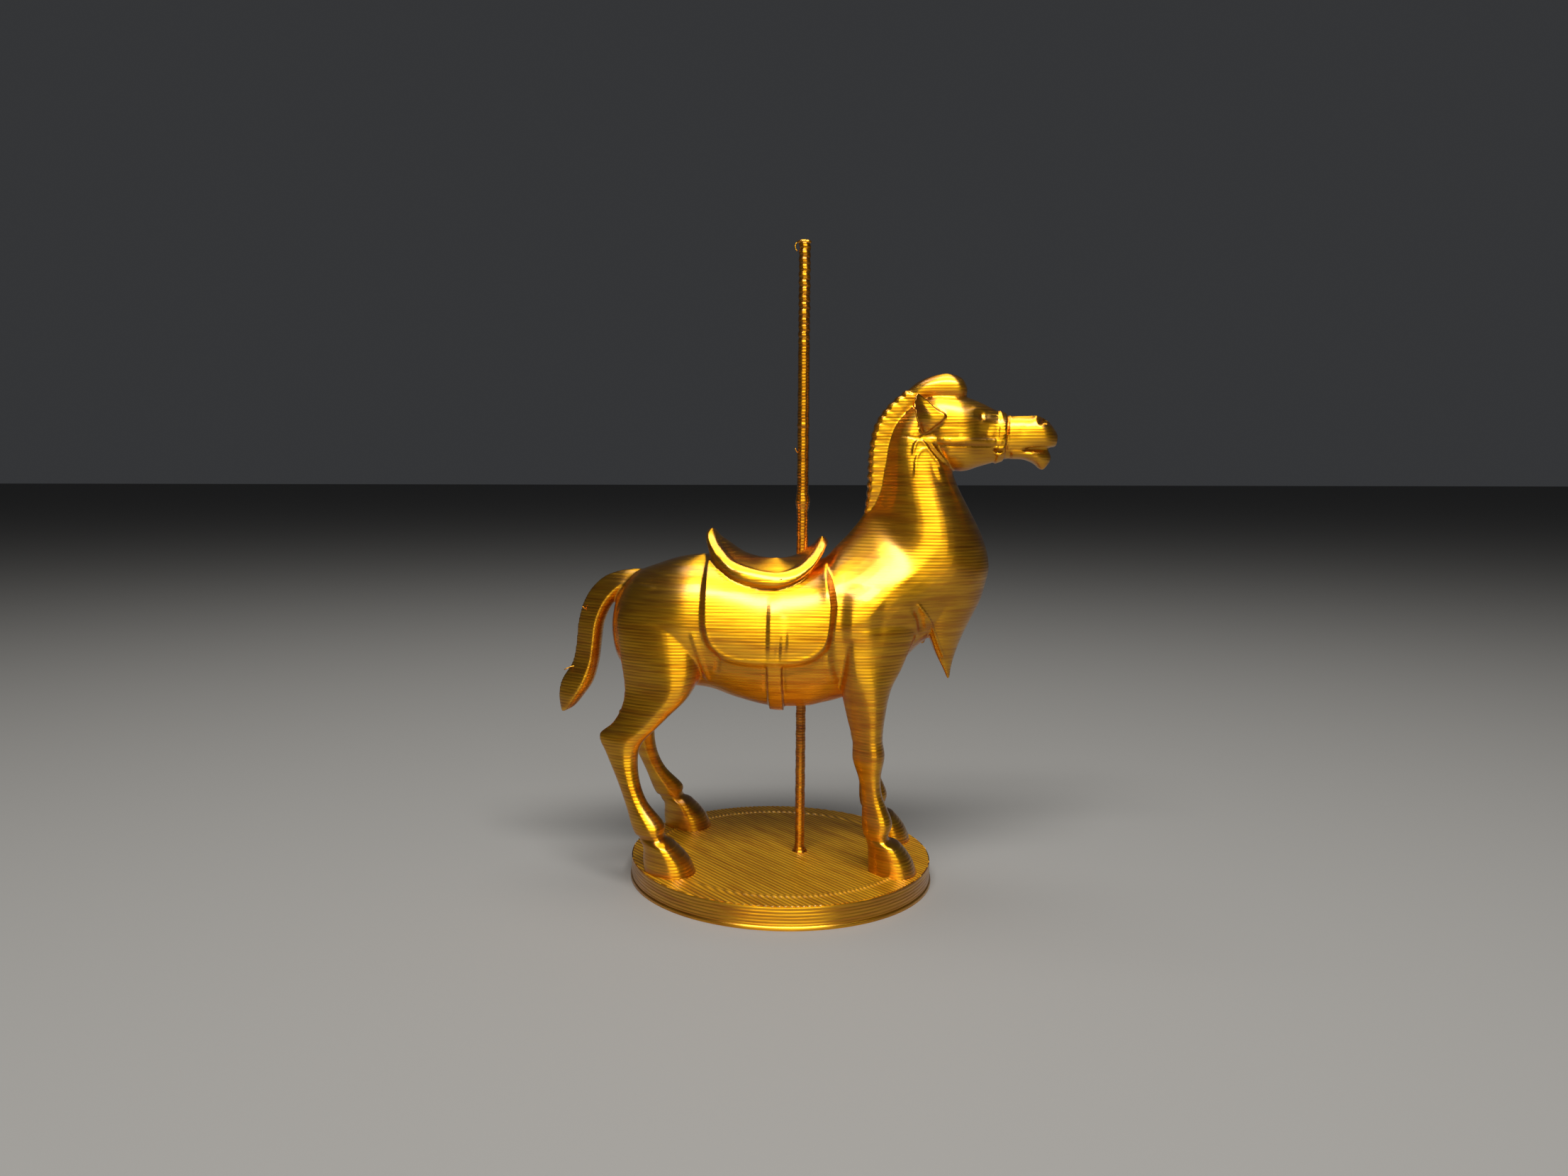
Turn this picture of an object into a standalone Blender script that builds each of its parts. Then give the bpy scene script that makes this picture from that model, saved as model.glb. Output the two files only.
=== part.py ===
"""Carousel camel: a small printed figure, one solid with its saddle, pole and round base.

All sizes are in millimetres, and the finished mesh is scaled to metres. The camel looks along +X, its middle
plane is y = 0, and the origin is the centre of the base's underside.
"""
import math

import bmesh
import bpy
from mathutils import Vector

MM = 0.001

# Figure: its crown above the base's top. Its form is given at this height and scaled with it.
FIGURE_HEIGHT = 44.5
MODEL_HEIGHT = 44.5
MODEL_FLOOR = 2.0
SHARE = FIGURE_HEIGHT / MODEL_HEIGHT

# Round base
BASE_THICKNESS = 2.0
BASE_EDGE_MARGIN = 0.14
BASE_FOOT_FLARE = 0.12
BASE_FLARE_HEIGHT = 0.28
BASE_RING_INSET = 2.2
BASE_RING_STEP = 0.12
BASE_SIDES = 96

# Pole: it stands at a place of the figure's back, and rises past the crown
POLE_RISE = 12.0
POLE_X = 1.9
POLE_UPPER_RADIUS = 0.53
POLE_LOWER_RADIUS = 0.455
POLE_CHANGE_Z = 24.0
POLE_RING_Z = 35.1
POLE_RING_RADIUS = 0.68
POLE_RING_LENGTH = 1.5
POLE_FOOT_RADIUS = 0.75
POLE_FOOT_LENGTH = 0.7
POLE_SIDES = 16

# Stance: the hooves' middles off the camel's middle plane
FORE_STANCE = 4.6
HIND_STANCE = 6.7
HOOF_HALF_WIDTH = 2.3
HOOF_SINK = 0.8
LEG_SQUARENESS = 1.9

# Tack
BLANKET_THICKNESS = 0.5
BLANKET_LENGTH = 11.1
BLANKET_MIDDLE_X = -0.95
BLANKET_HEM_Z = 21.1
BLANKET_CORNER_Z = 26.0
BLANKET_SQUARENESS = 3.2
GIRTH_X = -0.3
GIRTH_WIDTH = 1.3
GIRTH_THICKNESS = 0.4
GIRTH_TUCK = 0.3
LEATHER_TOP_Z = 26.2
SADDLE_LENGTH = 11.0
SADDLE_WIDTH = 10.3
SADDLE_MIDDLE_X = -1.35
SADDLE_UNDER_Z = 26.3
SADDLE_SQUARENESS = 2.25
STRAP_RADIUS = 0.22
NOSEBAND_X = 19.7
NOSEBAND_RADIUS = 0.26
NOSEBAND_MIDDLE_Z = 40.9
NOSEBAND_HALF_HEIGHT = 2.15
NOSEBAND_HALF_WIDTH = 1.8

# Mane
MANE_LOBES = 9
MANE_LOBE_DEPTH = 0.2

# Fineness of the joined form
VOXEL = 0.2
SMOOTH_ROUNDS = 4
FIGURE_TRIANGLES = 7400
RING_SIDES = 28

# Stations of the form, each (edge 1 x, z, edge 2 x, z, side, half width): two outline points, the ring's
# middle off the middle plane, and its half width across.
TORSO = (
    (-15.65, 24.9, -15.65, 22.0, 0, 2.0),
    (-15.1, 26.7, -15.1, 20.2, 0, 3.9),
    (-13.6, 28.4, -13.6, 18.8, 0, 5.3),
    (-11.5, 29.3, -11.5, 18.2, 0, 5.9),
    (-9.0, 30.05, -9.0, 18.0, 0, 6.1),
    (-6.5, 30.2, -6.5, 17.75, 0, 6.2),
    (-4.0, 29.6, -4.0, 16.9, 0, 6.25),
    (-1.0, 28.9, -1.0, 16.2, 0, 6.3),
    (2.0, 28.9, 2.2, 16.2, 0, 6.25),
    (3.8, 29.9, 3.9, 16.55, 0, 6.2),
    (5.0, 31.05, 5.4, 16.95, 0, 6.1),
    (6.1, 32.2, 9.0, 18.3, 0, 6.0),
    (7.2, 33.6, 12.4, 21.9, 0, 5.7),
    (8.0, 35.0, 15.6, 24.4, 0, 5.1),
    (8.5, 36.3, 18.1, 27.4, 0, 4.5),
    (8.8, 37.6, 18.45, 30.6, 0, 3.8),
    (9.0, 39.0, 17.35, 33.5, 0, 3.2),
    (9.3, 40.6, 16.1, 35.95, 0, 2.75),
    (10.0, 42.4, 15.4, 37.6, 0, 2.5),
    (11.4, 44.0, 14.8, 39.6, 0, 2.2),
)
HEAD = (
    (12.0, 44.3, 12.6, 40.0, 0, 1.6),
    (13.6, 44.8, 14.0, 38.7, 0, 2.35),
    (15.6, 44.65, 15.8, 37.85, 0, 2.75),
    (17.2, 44.25, 17.1, 38.1, 0, 2.6),
    (18.6, 43.5, 18.6, 38.55, 0, 2.1),
    (20.0, 42.85, 20.0, 38.95, 0, 1.75),
    (21.4, 42.75, 21.2, 39.1, 0, 1.7),
    (22.7, 42.75, 22.4, 39.55, 0, 1.8),
    (23.7, 42.15, 23.5, 39.7, 0, 1.6),
    (24.4, 41.2, 24.3, 40.1, 0, 0.9),
)
LOWER_LIP = (
    (20.2, 40.3, 20.4, 38.95, 0, 1.5),
    (21.9, 39.6, 21.5, 38.8, 0, 1.4),
    (23.1, 39.3, 22.5, 38.4, 0, 1.2),
    (24.0, 39.35, 23.2, 38.05, 0, 0.9),
    (24.1, 38.95, 23.7, 38.3, 0, 0.4),
)
FORELOCK = (
    (10.4, 44.3, 11.6, 43.2, 0, 0.8),
    (12.0, 45.75, 12.6, 44.0, 0, 1.25),
    (13.6, 46.4, 13.8, 44.0, 0, 1.55),
    (15.0, 46.5, 15.0, 44.0, 0, 1.65),
    (16.0, 46.1, 15.9, 44.1, 0, 1.45),
    (16.45, 45.3, 16.4, 44.5, 0, 0.8),
)
MANE = (
    (7.45, 34.0, 9.0, 34.9, 0, 0.5),
    (7.65, 36.0, 9.7, 36.4, 0, 0.95),
    (7.7, 38.0, 9.9, 38.3, 0, 1.05),
    (7.8, 40.0, 10.0, 40.1, 0, 1.1),
    (8.3, 42.1, 10.4, 41.6, 0, 1.1),
    (9.4, 43.75, 11.2, 42.9, 0, 1.1),
    (11.0, 45.15, 12.3, 43.9, 0, 1.15),
)
TAIL = (
    (-12.6, 28.8, -13.2, 26.6, 0, 1.05),
    (-14.9, 28.65, -14.7, 26.4, 0, 1.15),
    (-16.9, 27.85, -15.6, 25.7, 0, 1.15),
    (-18.4, 26.1, -16.2, 24.8, 0, 1.15),
    (-19.15, 23.8, -16.7, 23.5, 0, 1.15),
    (-19.4, 21.6, -16.95, 21.8, 0, 1.15),
    (-19.8, 19.8, -17.2, 20.0, 0, 1.2),
    (-20.8, 18.2, -17.75, 18.1, 0, 1.3),
    (-21.15, 16.8, -18.6, 16.8, 0, 1.1),
    (-21.05, 15.7, -19.6, 15.6, 0, 0.65),
    (-20.9, 15.0, -20.55, 15.05, 0, 0.15),
)
# Long hair down the front of the neck, from under the jaw to a point below the breast
FRINGE = (
    (12.7, 39.9, 13.3, 39.9, 0, 2.6),
    (12.15, 38.8, 14.9, 38.3, 0, 2.95),
    (12.1, 37.0, 15.55, 36.9, 0, 3.15),
    (12.05, 35.0, 16.5, 35.1, 0, 3.6),
    (12.0, 33.0, 17.65, 33.0, 0, 4.15),
    (12.0, 31.0, 18.45, 31.0, 0, 4.7),
    (12.0, 29.0, 18.75, 29.2, 0, 5.0),
    (12.0, 27.4, 18.5, 27.8, 0, 4.9),
    (12.3, 25.9, 18.1, 26.3, 0, 4.4),
    (12.9, 24.4, 17.4, 24.8, 0, 3.6),
    (13.5, 22.9, 16.65, 23.2, 0, 2.6),
    (14.1, 21.4, 16.05, 21.6, 0, 1.6),
    (14.8, 20.0, 15.65, 20.1, 0, 0.7),
    (15.3, 18.9, 15.5, 18.9, 0, 0.15),
)
UNDER_TUFT = (
    (10.6, 26.0, 13.6, 26.0, 0, 3.3),
    (11.6, 24.3, 13.7, 24.3, 0, 2.4),
    (12.4, 22.9, 13.4, 22.9, 0, 1.2),
    (12.9, 22.1, 13.1, 22.1, 0, 0.2),
)
FORELEG = (
    (6.6, 28.2, 11.0, 28.6, 2.0, 2.2),
    (5.2, 24.6, 12.4, 24.9, 3.1, 2.95),
    (5.4, 20.6, 11.1, 20.9, 3.8, 2.5),
    (5.6, 18.3, 10.0, 18.6, 4.15, 2.15),
    (6.1, 16.0, 9.5, 16.2, 4.35, 1.75),
    (6.6, 14.0, 9.3, 14.1, 4.45, 1.4),
    (6.65, 12.3, 9.5, 12.6, 4.5, 1.4),
    (7.2, 10.5, 9.2, 10.7, 4.5, 1.0),
    (7.5, 8.6, 9.35, 8.9, 4.5, 0.95),
    (7.55, 6.3, 10.25, 6.6, FORE_STANCE, 1.35),
    (7.8, 5.1, 9.95, 5.3, FORE_STANCE, 1.25),
    (8.1, 4.4, 11.0, 4.6, FORE_STANCE, 1.75),
    (8.15, 3.0, 12.1, 3.2, FORE_STANCE, 2.05),
    (8.2, MODEL_FLOOR - HOOF_SINK, 12.75, MODEL_FLOOR - HOOF_SINK, FORE_STANCE, HOOF_HALF_WIDTH),
)
HIND_LEG = (
    (-13.6, 27.6, -9.0, 27.4, 1.9, 2.4),
    (-14.9, 24.8, -7.4, 24.6, 3.1, 3.15),
    (-14.6, 21.7, -6.9, 20.6, 3.7, 2.9),
    (-14.05, 18.4, -7.9, 17.9, 4.15, 2.4),
    (-14.3, 16.5, -9.9, 15.8, 4.4, 1.9),
    (-15.1, 15.1, -11.2, 14.5, 4.6, 1.45),
    (-16.3, 13.95, -12.3, 13.35, 4.75, 1.2),
    (-15.6, 12.2, -12.7, 12.1, 4.95, 1.0),
    (-14.55, 9.9, -12.5, 10.0, 5.4, 0.9),
    (-13.7, 7.8, -11.7, 8.1, 5.9, 0.95),
    (-13.05, 5.9, -10.1, 6.3, 6.35, 1.3),
    (-12.5, 5.0, -10.1, 5.4, 6.5, 1.25),
    (-12.0, 4.3, -9.1, 4.6, HIND_STANCE, 1.75),
    (-12.0, 3.0, -7.75, 3.2, HIND_STANCE, 2.05),
    (-11.8, MODEL_FLOOR - HOOF_SINK, -6.9, MODEL_FLOOR - HOOF_SINK, HIND_STANCE, HOOF_HALF_WIDTH),
)
# Ear, each (x, side, z, half width, depth)
EAR = (
    (13.5, 1.9, 41.9, 0.6, 0.45),
    (13.1, 2.2, 42.6, 1.0, 0.6),
    (12.65, 2.45, 43.4, 0.95, 0.55),
    (12.25, 2.6, 44.2, 0.55, 0.4),
    (12.0, 2.65, 44.85, 0.08, 0.08),
)
# Straps of the bridle on one side, each (x, side, z)
CHEEK_STRAP = ((12.6, 2.2, 40.75), (14.2, 2.55, 40.6), (16.5, 2.65, 40.45), (18.4, 2.2, 40.35),
               (19.6, 1.85, 40.3))
THROAT_LASH = ((12.7, 2.3, 40.6), (13.6, 2.45, 39.6), (14.6, 2.2, 38.5), (15.4, 0.9, 37.7))
EYE_PLACE = (17.5, 2.05, 42.6)
EYE_RADII = (0.55, 0.5, 0.45)
# Saddle heights along the middle plane and along its rim, each (share of half length, z)
SEAT_LINE = ((-1.0, 32.3), (-0.78, 31.9), (-0.35, 30.4), (0.1, 29.9), (0.45, 30.15), (0.8, 31.3), (1.0, 31.6))
RIM_LINE = ((-1.0, 32.3), (-0.9, 31.15), (-0.77, 30.2), (-0.5, 29.1), (0.15, 28.3), (0.5, 28.6), (0.75, 29.45),
            (0.92, 30.6), (1.0, 31.5))
# Saddle's skin from its foot over the rolled rim to the seat's middle, each (share of half size, rise)
SADDLE_WALL = ((0.88, -1.6), (0.96, -0.6), (1.01, -0.25), (1.02, 0.1), (0.99, 0.36), (0.93, 0.38), (0.87, 0.15),
               (0.8, 0.0), (0.6, 0.0), (0.4, 0.0), (0.2, 0.0), (0.02, 0.0))
SADDLE_FOOT_SHARE = 0.84
SEAT_DISH = 1.6


def catmull(a, b, c, d, t):
    """Value at share t between b and c of the smooth curve through a, b, c and d."""
    return 0.5 * (2 * b + (c - a) * t + (2 * a - 5 * b + 4 * c - d) * t * t + (3 * b - a - 3 * c + d) * t ** 3)


def smooth_rows(rows, steps):
    """Rows of numbers with steps - 1 further rows between each two, on a smooth curve."""
    padded = [rows[0]] + list(rows) + [rows[-1]]
    result = []
    for i in range(1, len(padded) - 2):
        for step in range(steps):
            result.append([catmull(*values, step / steps) for values in zip(*padded[i - 1:i + 3])])
    result.append(list(rows[-1]))
    return result


def read_line(points, at):
    """Height at a place along a line of (place, height) points, on a smooth curve."""
    last = len(points) - 1
    i = max(0, min(last - 1, sum(at > place for place, _ in points) - 1))
    t = (at - points[i][0]) / (points[i + 1][0] - points[i][0])
    near = [points[max(0, min(last, i + k))][1] for k in (-1, 0, 1, 2)]
    return catmull(*near, max(0.0, min(1.0, t)))


def rounded(angle, squareness):
    """Cosine and sine of a rounded ring: squareness 2 is an ellipse, less is a lozenge, more is boxy."""
    power = 2 / squareness
    c, s = math.cos(angle), math.sin(angle)
    return math.copysign(abs(c) ** power, c), math.copysign(abs(s) ** power, s)


def add_rings(bm, rings):
    """Close a row of equal rings of points into one body."""
    loops = [[bm.verts.new(point) for point in ring] for ring in rings]
    for first, second in zip(loops, loops[1:]):
        for i in range(len(first)):
            j = (i + 1) % len(first)
            bm.faces.new((first[i], first[j], second[j], second[i]))
    bm.faces.new(list(reversed(loops[0])))
    bm.faces.new(loops[-1])


def add_form(bm, rows, side=1, squareness=2.0, rear_squareness=None, steps=4):
    """Loft one limb or trunk through its stations, on the camel's left (side 1) or right (side -1).

    A rear squareness of its own gives the half towards edge 1 corners, as on a tuft with a flat back.
    """
    angles = [2 * math.pi * i / RING_SIDES for i in range(RING_SIDES)]
    rear = rear_squareness or squareness
    turns = [rounded(angle, rear if math.cos(angle) > 0 else squareness) for angle in angles]
    rings = []
    for x1, z1, x2, z2, y, half in smooth_rows(rows, steps):
        x, z, reach_x, reach_z = (x1 + x2) / 2, (z1 + z2) / 2, (x1 - x2) / 2, (z1 - z2) / 2
        rings.append([(x + reach_x * c, side * (y + half * s), z + reach_z * c) for c, s in turns])
    add_rings(bm, rings)


def torso_ring(x):
    """Middle height, half height and half width of the barrel at x, from the torso's own stations."""
    rows = smooth_rows(TORSO, 8)
    near = min(rows, key=lambda row: abs((row[0] + row[2]) / 2 - x))
    return (near[1] + near[3]) / 2, (near[1] - near[3]) / 2, near[5]


def barrel_point(x, angle, lift):
    """Point on the barrel at x, at an angle from its top, lifted off its surface."""
    middle, half_height, half_width = torso_ring(x)
    return Vector((x, (half_width + lift) * math.sin(angle), middle + (half_height + lift) * math.cos(angle)))


def add_wrap(bm, columns, lift, inner=-1.0):
    """A sheet wrapped round the barrel: columns of (x, first angle, last angle), lifted off its surface."""
    count = 24
    rings = []
    for x, first, last in columns:
        angles = [first + (last - first) * i / count for i in range(count + 1)]
        outer_side = [barrel_point(x, angle, lift) for angle in angles]
        inner_side = [barrel_point(x, angle, inner) for angle in reversed(angles)]
        rings.append(outer_side + inner_side)
    add_rings(bm, rings)


def angle_of_height(x, z):
    """Angle from the barrel's top at which its surface at x is at height z."""
    middle, half_height, _ = torso_ring(x)
    return math.acos(max(-1.0, min(1.0, (z - middle) / half_height)))


def add_blanket(bm):
    """Saddle blanket with rounded lower corners, down both sides."""
    drop, steps = BLANKET_CORNER_Z - BLANKET_HEM_Z, 24
    columns = []
    for i in range(steps + 1):
        share = -math.cos(math.pi * i / steps)
        edge = BLANKET_CORNER_Z - drop * (1 - abs(share) ** BLANKET_SQUARENESS) ** (1 / BLANKET_SQUARENESS)
        x = BLANKET_MIDDLE_X + BLANKET_LENGTH / 2 * share
        reach = angle_of_height(x, edge)
        columns.append((x, -reach, reach))
    add_wrap(bm, columns, BLANKET_THICKNESS)


def add_girth(bm):
    """Girth strap round the belly, and the leather strap that runs up over the blanket."""
    hem = angle_of_height(GIRTH_X, BLANKET_HEM_Z + GIRTH_TUCK)
    top = angle_of_height(GIRTH_X, LEATHER_TOP_Z)
    places = (GIRTH_X - GIRTH_WIDTH / 2, GIRTH_X, GIRTH_X + GIRTH_WIDTH / 2)
    for side in (-1, 1):
        over = [(x, side * top, side * hem) for x in places]
        add_wrap(bm, over, BLANKET_THICKNESS + GIRTH_THICKNESS)
    under = [(x, hem, 2 * math.pi - hem) for x in places]
    add_wrap(bm, under, GIRTH_THICKNESS)


def saddle_height(x_share, y_share):
    """Height of the saddle's top at shares of its half length and half width."""
    seat, rim = read_line(SEAT_LINE, x_share), read_line(RIM_LINE, x_share)
    across = math.sqrt(max(1e-6, 1 - x_share ** 2))
    return seat - (seat - rim) * min(1.0, abs(y_share) / across) ** SEAT_DISH


def add_saddle(bm):
    """Saddle: a dished seat with a thick rolled rim, hollow between cantle and pommel."""
    half_length, half_width, sides = SADDLE_LENGTH / 2, SADDLE_WIDTH / 2, 40
    turns = [rounded(2 * math.pi * i / sides, SADDLE_SQUARENESS) for i in range(sides)]

    def place(share, c, s, z):
        return SADDLE_MIDDLE_X + share * c * half_length, share * s * half_width, z

    rings = [[place(SADDLE_FOOT_SHARE, c, s, SADDLE_UNDER_Z) for c, s in turns]]
    for share, rise in SADDLE_WALL:
        limit = min(1.0, share)
        rings.append([place(share, c, s, saddle_height(limit * c, limit * s) + rise) for c, s in turns])
    add_rings(bm, rings)


def add_cord(bm, points, radius, closed=False):
    """A strap or bead: a round tube through points, smooth between them."""
    path = [Vector(row) for row in smooth_rows([tuple(p) for p in points], 4)]
    sides = 8
    rings = []
    for i, point in enumerate(path):
        before, after = path[max(0, i - 1)], path[min(len(path) - 1, i + 1)]
        along = (after - before).normalized()
        across = along.cross(Vector((0.0, 0.3, 1.0))).normalized()
        up = across.cross(along)
        rings.append([point + (across * math.cos(a) + up * math.sin(a)) * radius
                      for a in (2 * math.pi * k / sides for k in range(sides))])
    add_rings(bm, rings)


def add_bridle(bm, side):
    """Bridle on one side: noseband half, cheek strap and throat lash."""
    nose = []
    for angle in (math.pi * k / 8 for k in range(9)):
        y, z = side * NOSEBAND_HALF_WIDTH * math.sin(angle), NOSEBAND_HALF_HEIGHT * math.cos(angle)
        nose.append((NOSEBAND_X, y, NOSEBAND_MIDDLE_Z + z))
    add_cord(bm, nose, NOSEBAND_RADIUS)
    for strap in (CHEEK_STRAP, THROAT_LASH):
        add_cord(bm, [(x, side * y, z) for x, y, z in strap], STRAP_RADIUS)


def add_ear(bm, side):
    """Pointed ear, cupped like a leaf, laid back and opening outward."""
    wide = Vector((0.85, 0.0, 0.5)).normalized()
    out = Vector((0.25, side, 0.1)).normalized()
    half = 9
    rings = []
    for x, y, z, width, depth in smooth_rows(EAR, 3):
        middle = Vector((x, side * y, z))
        back = [middle + wide * width * math.cos(a) - out * depth * math.sin(a)
                for a in (math.pi * k / half for k in range(half + 1))]
        hollow = [middle + wide * width * 0.9 * math.cos(a) - out * depth * 0.35 * math.sin(a)
                  for a in (math.pi * (half - k) / half for k in range(1, half))]
        rings.append(back + hollow)
    add_rings(bm, rings)


def add_mane(bm):
    """Mane down the back of the neck, its rear edge in rounded lobes."""
    rows = smooth_rows(MANE, 9)
    lobed = []
    for i, (x1, z1, x2, z2, y, half) in enumerate(rows):
        wave = abs(math.sin(math.pi * MANE_LOBES * i / (len(rows) - 1)))
        pull = MANE_LOBE_DEPTH * (1 - wave) / max(0.1, math.dist((x1, z1), (x2, z2)))
        lobed.append((x1 + (x2 - x1) * pull, z1 + (z2 - z1) * pull, x2, z2, y, half * (0.9 + 0.1 * wave)))
    add_form(bm, lobed, squareness=2.6, steps=1)


def add_ball(bm, place, radii):
    """A rounded lump."""
    lump = bmesh.ops.create_uvsphere(bm, u_segments=16, v_segments=10, radius=1.0)
    bmesh.ops.scale(bm, verts=lump["verts"], vec=Vector(radii))
    bmesh.ops.translate(bm, verts=lump["verts"], vec=Vector(place))


def object_of(bm, name):
    """Object in the scene that holds the form."""
    bmesh.ops.recalc_face_normals(bm, faces=bm.faces)
    mesh = bpy.data.meshes.new(name)
    bm.to_mesh(mesh)
    bm.free()
    item = bpy.data.objects.new(name, mesh)
    bpy.context.scene.collection.objects.link(item)
    return item


def settle(item):
    """Turn an object's modifiers into its mesh."""
    graph = bpy.context.evaluated_depsgraph_get()
    mesh = bpy.data.meshes.new_from_object(item.evaluated_get(graph))
    item.modifiers.clear()
    item.data = mesh


def triangles(mesh):
    """Number of triangles that a mesh comes to."""
    return sum(len(polygon.vertices) - 2 for polygon in mesh.polygons)


def build_figure():
    """Camel with saddle and tack, joined into one skin."""
    bm = bmesh.new()
    add_form(bm, TORSO, squareness=2.15)
    add_form(bm, HEAD, squareness=2.3)
    add_form(bm, LOWER_LIP)
    add_form(bm, FORELOCK, squareness=2.2)
    add_form(bm, TAIL, squareness=1.7)
    add_form(bm, FRINGE, squareness=2.0, rear_squareness=5.0)
    add_form(bm, UNDER_TUFT, squareness=2.0, rear_squareness=4.0)
    add_mane(bm)
    for side in (-1, 1):
        add_form(bm, FORELEG, side=side, squareness=LEG_SQUARENESS)
        add_form(bm, HIND_LEG, side=side, squareness=LEG_SQUARENESS)
        add_bridle(bm, side)
        add_ear(bm, side)
        add_ball(bm, (EYE_PLACE[0], side * EYE_PLACE[1], EYE_PLACE[2]), EYE_RADII)
    add_blanket(bm)
    add_girth(bm)
    add_saddle(bm)
    bmesh.ops.translate(bm, verts=bm.verts, vec=Vector((0.0, 0.0, -MODEL_FLOOR)))
    bmesh.ops.scale(bm, verts=bm.verts, vec=Vector((SHARE, SHARE, SHARE)))
    bmesh.ops.translate(bm, verts=bm.verts, vec=Vector((0.0, 0.0, BASE_THICKNESS)))
    figure = object_of(bm, "figure")
    join = figure.modifiers.new("Join", "REMESH")
    join.mode = "VOXEL"
    join.voxel_size = VOXEL * SHARE
    soften = figure.modifiers.new("Soften", "SMOOTH")
    soften.factor = 0.5
    soften.iterations = SMOOTH_ROUNDS
    settle(figure)
    thin = figure.modifiers.new("Thin", "DECIMATE")
    thin.ratio = min(1.0, FIGURE_TRIANGLES / triangles(figure.data))
    settle(figure)
    return figure


def on_figure(z):
    """Height above the base's underside of a height given with the figure's stations."""
    return BASE_THICKNESS + (z - MODEL_FLOOR) * SHARE


def base_radius():
    """Radius that carries the hooves' outermost corners with a small margin."""
    hind, fore = HIND_LEG[-1], FORELEG[-1]
    reach = 0.0
    for heel, toe, side in ((hind[0], hind[2], HIND_STANCE), (fore[0], fore[2], FORE_STANCE)):
        middle, half = (heel + toe) / 2, abs(toe - heel) / 2
        for k in range(48):
            c, s = rounded(2 * math.pi * k / 48, LEG_SQUARENESS)
            reach = max(reach, math.hypot(middle + half * c, side + HOOF_HALF_WIDTH * s))
    return reach * SHARE + BASE_EDGE_MARGIN


def turned(name, profile, sides, x=0.0):
    """Closed turned body from a profile of (radius, z), about an upright axis at x."""
    bm = bmesh.new()
    rings = [[(x + r * math.cos(2 * math.pi * i / sides), r * math.sin(2 * math.pi * i / sides), z)
              for i in range(sides)] for r, z in profile]
    add_rings(bm, rings)
    return object_of(bm, name)


def build_base():
    """Round base, flared at its foot, with a shallow ring step on its top."""
    radius = base_radius()
    inner = radius - BASE_RING_INSET
    profile = (
        (radius + BASE_FOOT_FLARE, 0.0),
        (radius + BASE_FOOT_FLARE, BASE_FLARE_HEIGHT / 2),
        (radius, BASE_FLARE_HEIGHT),
        (radius, BASE_THICKNESS - BASE_RING_STEP / 2),
        (radius - BASE_RING_STEP / 2, BASE_THICKNESS),
        (inner + BASE_RING_STEP, BASE_THICKNESS),
        (inner, BASE_THICKNESS - BASE_RING_STEP),
    )
    return turned("base", profile, BASE_SIDES)


def build_pole():
    """Pole from inside the base up through the saddle, with its ring, flared foot and rounded end."""
    ring, ring_z, change_z = POLE_RING_LENGTH / 2, on_figure(POLE_RING_Z), on_figure(POLE_CHANGE_Z)
    foot = BASE_THICKNESS - BASE_RING_STEP
    shoulder = BASE_THICKNESS + FIGURE_HEIGHT + POLE_RISE - POLE_UPPER_RADIUS
    profile = [
        (POLE_FOOT_RADIUS, BASE_THICKNESS / 2),
        (POLE_FOOT_RADIUS, foot),
        (POLE_LOWER_RADIUS, foot + POLE_FOOT_LENGTH),
        (POLE_LOWER_RADIUS, change_z),
        (POLE_UPPER_RADIUS, change_z + POLE_UPPER_RADIUS),
        (POLE_UPPER_RADIUS, ring_z - ring),
        (POLE_RING_RADIUS, ring_z - ring / 3),
        (POLE_RING_RADIUS, ring_z + ring / 3),
        (POLE_UPPER_RADIUS, ring_z + ring),
    ]
    for angle in (math.radians(degrees) for degrees in (0, 30, 60, 80)):
        profile.append((POLE_UPPER_RADIUS * math.cos(angle), shoulder + POLE_UPPER_RADIUS * math.sin(angle)))
    return turned("pole", profile, POLE_SIDES, POLE_X * SHARE)


def join_solids(target, others):
    """Union of overlapping solids, kept in the target."""
    for other in others:
        union = target.modifiers.new("Union", "BOOLEAN")
        union.operation = "UNION"
        union.solver = "EXACT"
        union.object = other
        settle(target)
        bpy.data.objects.remove(other)


def silk_gold():
    """Golden yellow silk plastic: warm body colour with a soft metallic sheen."""
    material = bpy.data.materials.new("silk_gold_plastic")
    material.use_nodes = True
    shader = material.node_tree.nodes["Principled BSDF"]
    shader.inputs["Base Color"].default_value = (0.60, 0.30, 0.02, 1.0)
    shader.inputs["Metallic"].default_value = 0.6
    shader.inputs["Roughness"].default_value = 0.35
    return material


def main():
    """Build the camel, its pole and base as one solid."""
    for item in list(bpy.data.objects):
        bpy.data.objects.remove(item)
    camel = build_base()
    join_solids(camel, (build_figure(), build_pole()))
    camel.name = "carousel_camel"
    camel.data.name = "carousel_camel"
    for vertex in camel.data.vertices:
        vertex.co = vertex.co * MM
    camel.data.shade_smooth()
    camel.data.set_sharp_from_angle(angle=math.radians(35))
    camel.data.materials.clear()
    camel.data.materials.append(silk_gold())


main()
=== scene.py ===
"""The looks of a small printed carousel camel, in golden silk plastic on its round base.

Pieces are modelled in millimetres in the camel's own frame and scaled to metres when they are finished. The
camel looks along +X, its middle plane is y = 0, and z = 0 is the base's underside.
"""

import logging
import math
from collections.abc import Iterable, Sequence
from dataclasses import dataclass, field
from enum import Enum
from functools import cached_property

import bmesh
import bpy
import numpy as np
from mathutils import Matrix, Vector


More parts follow.
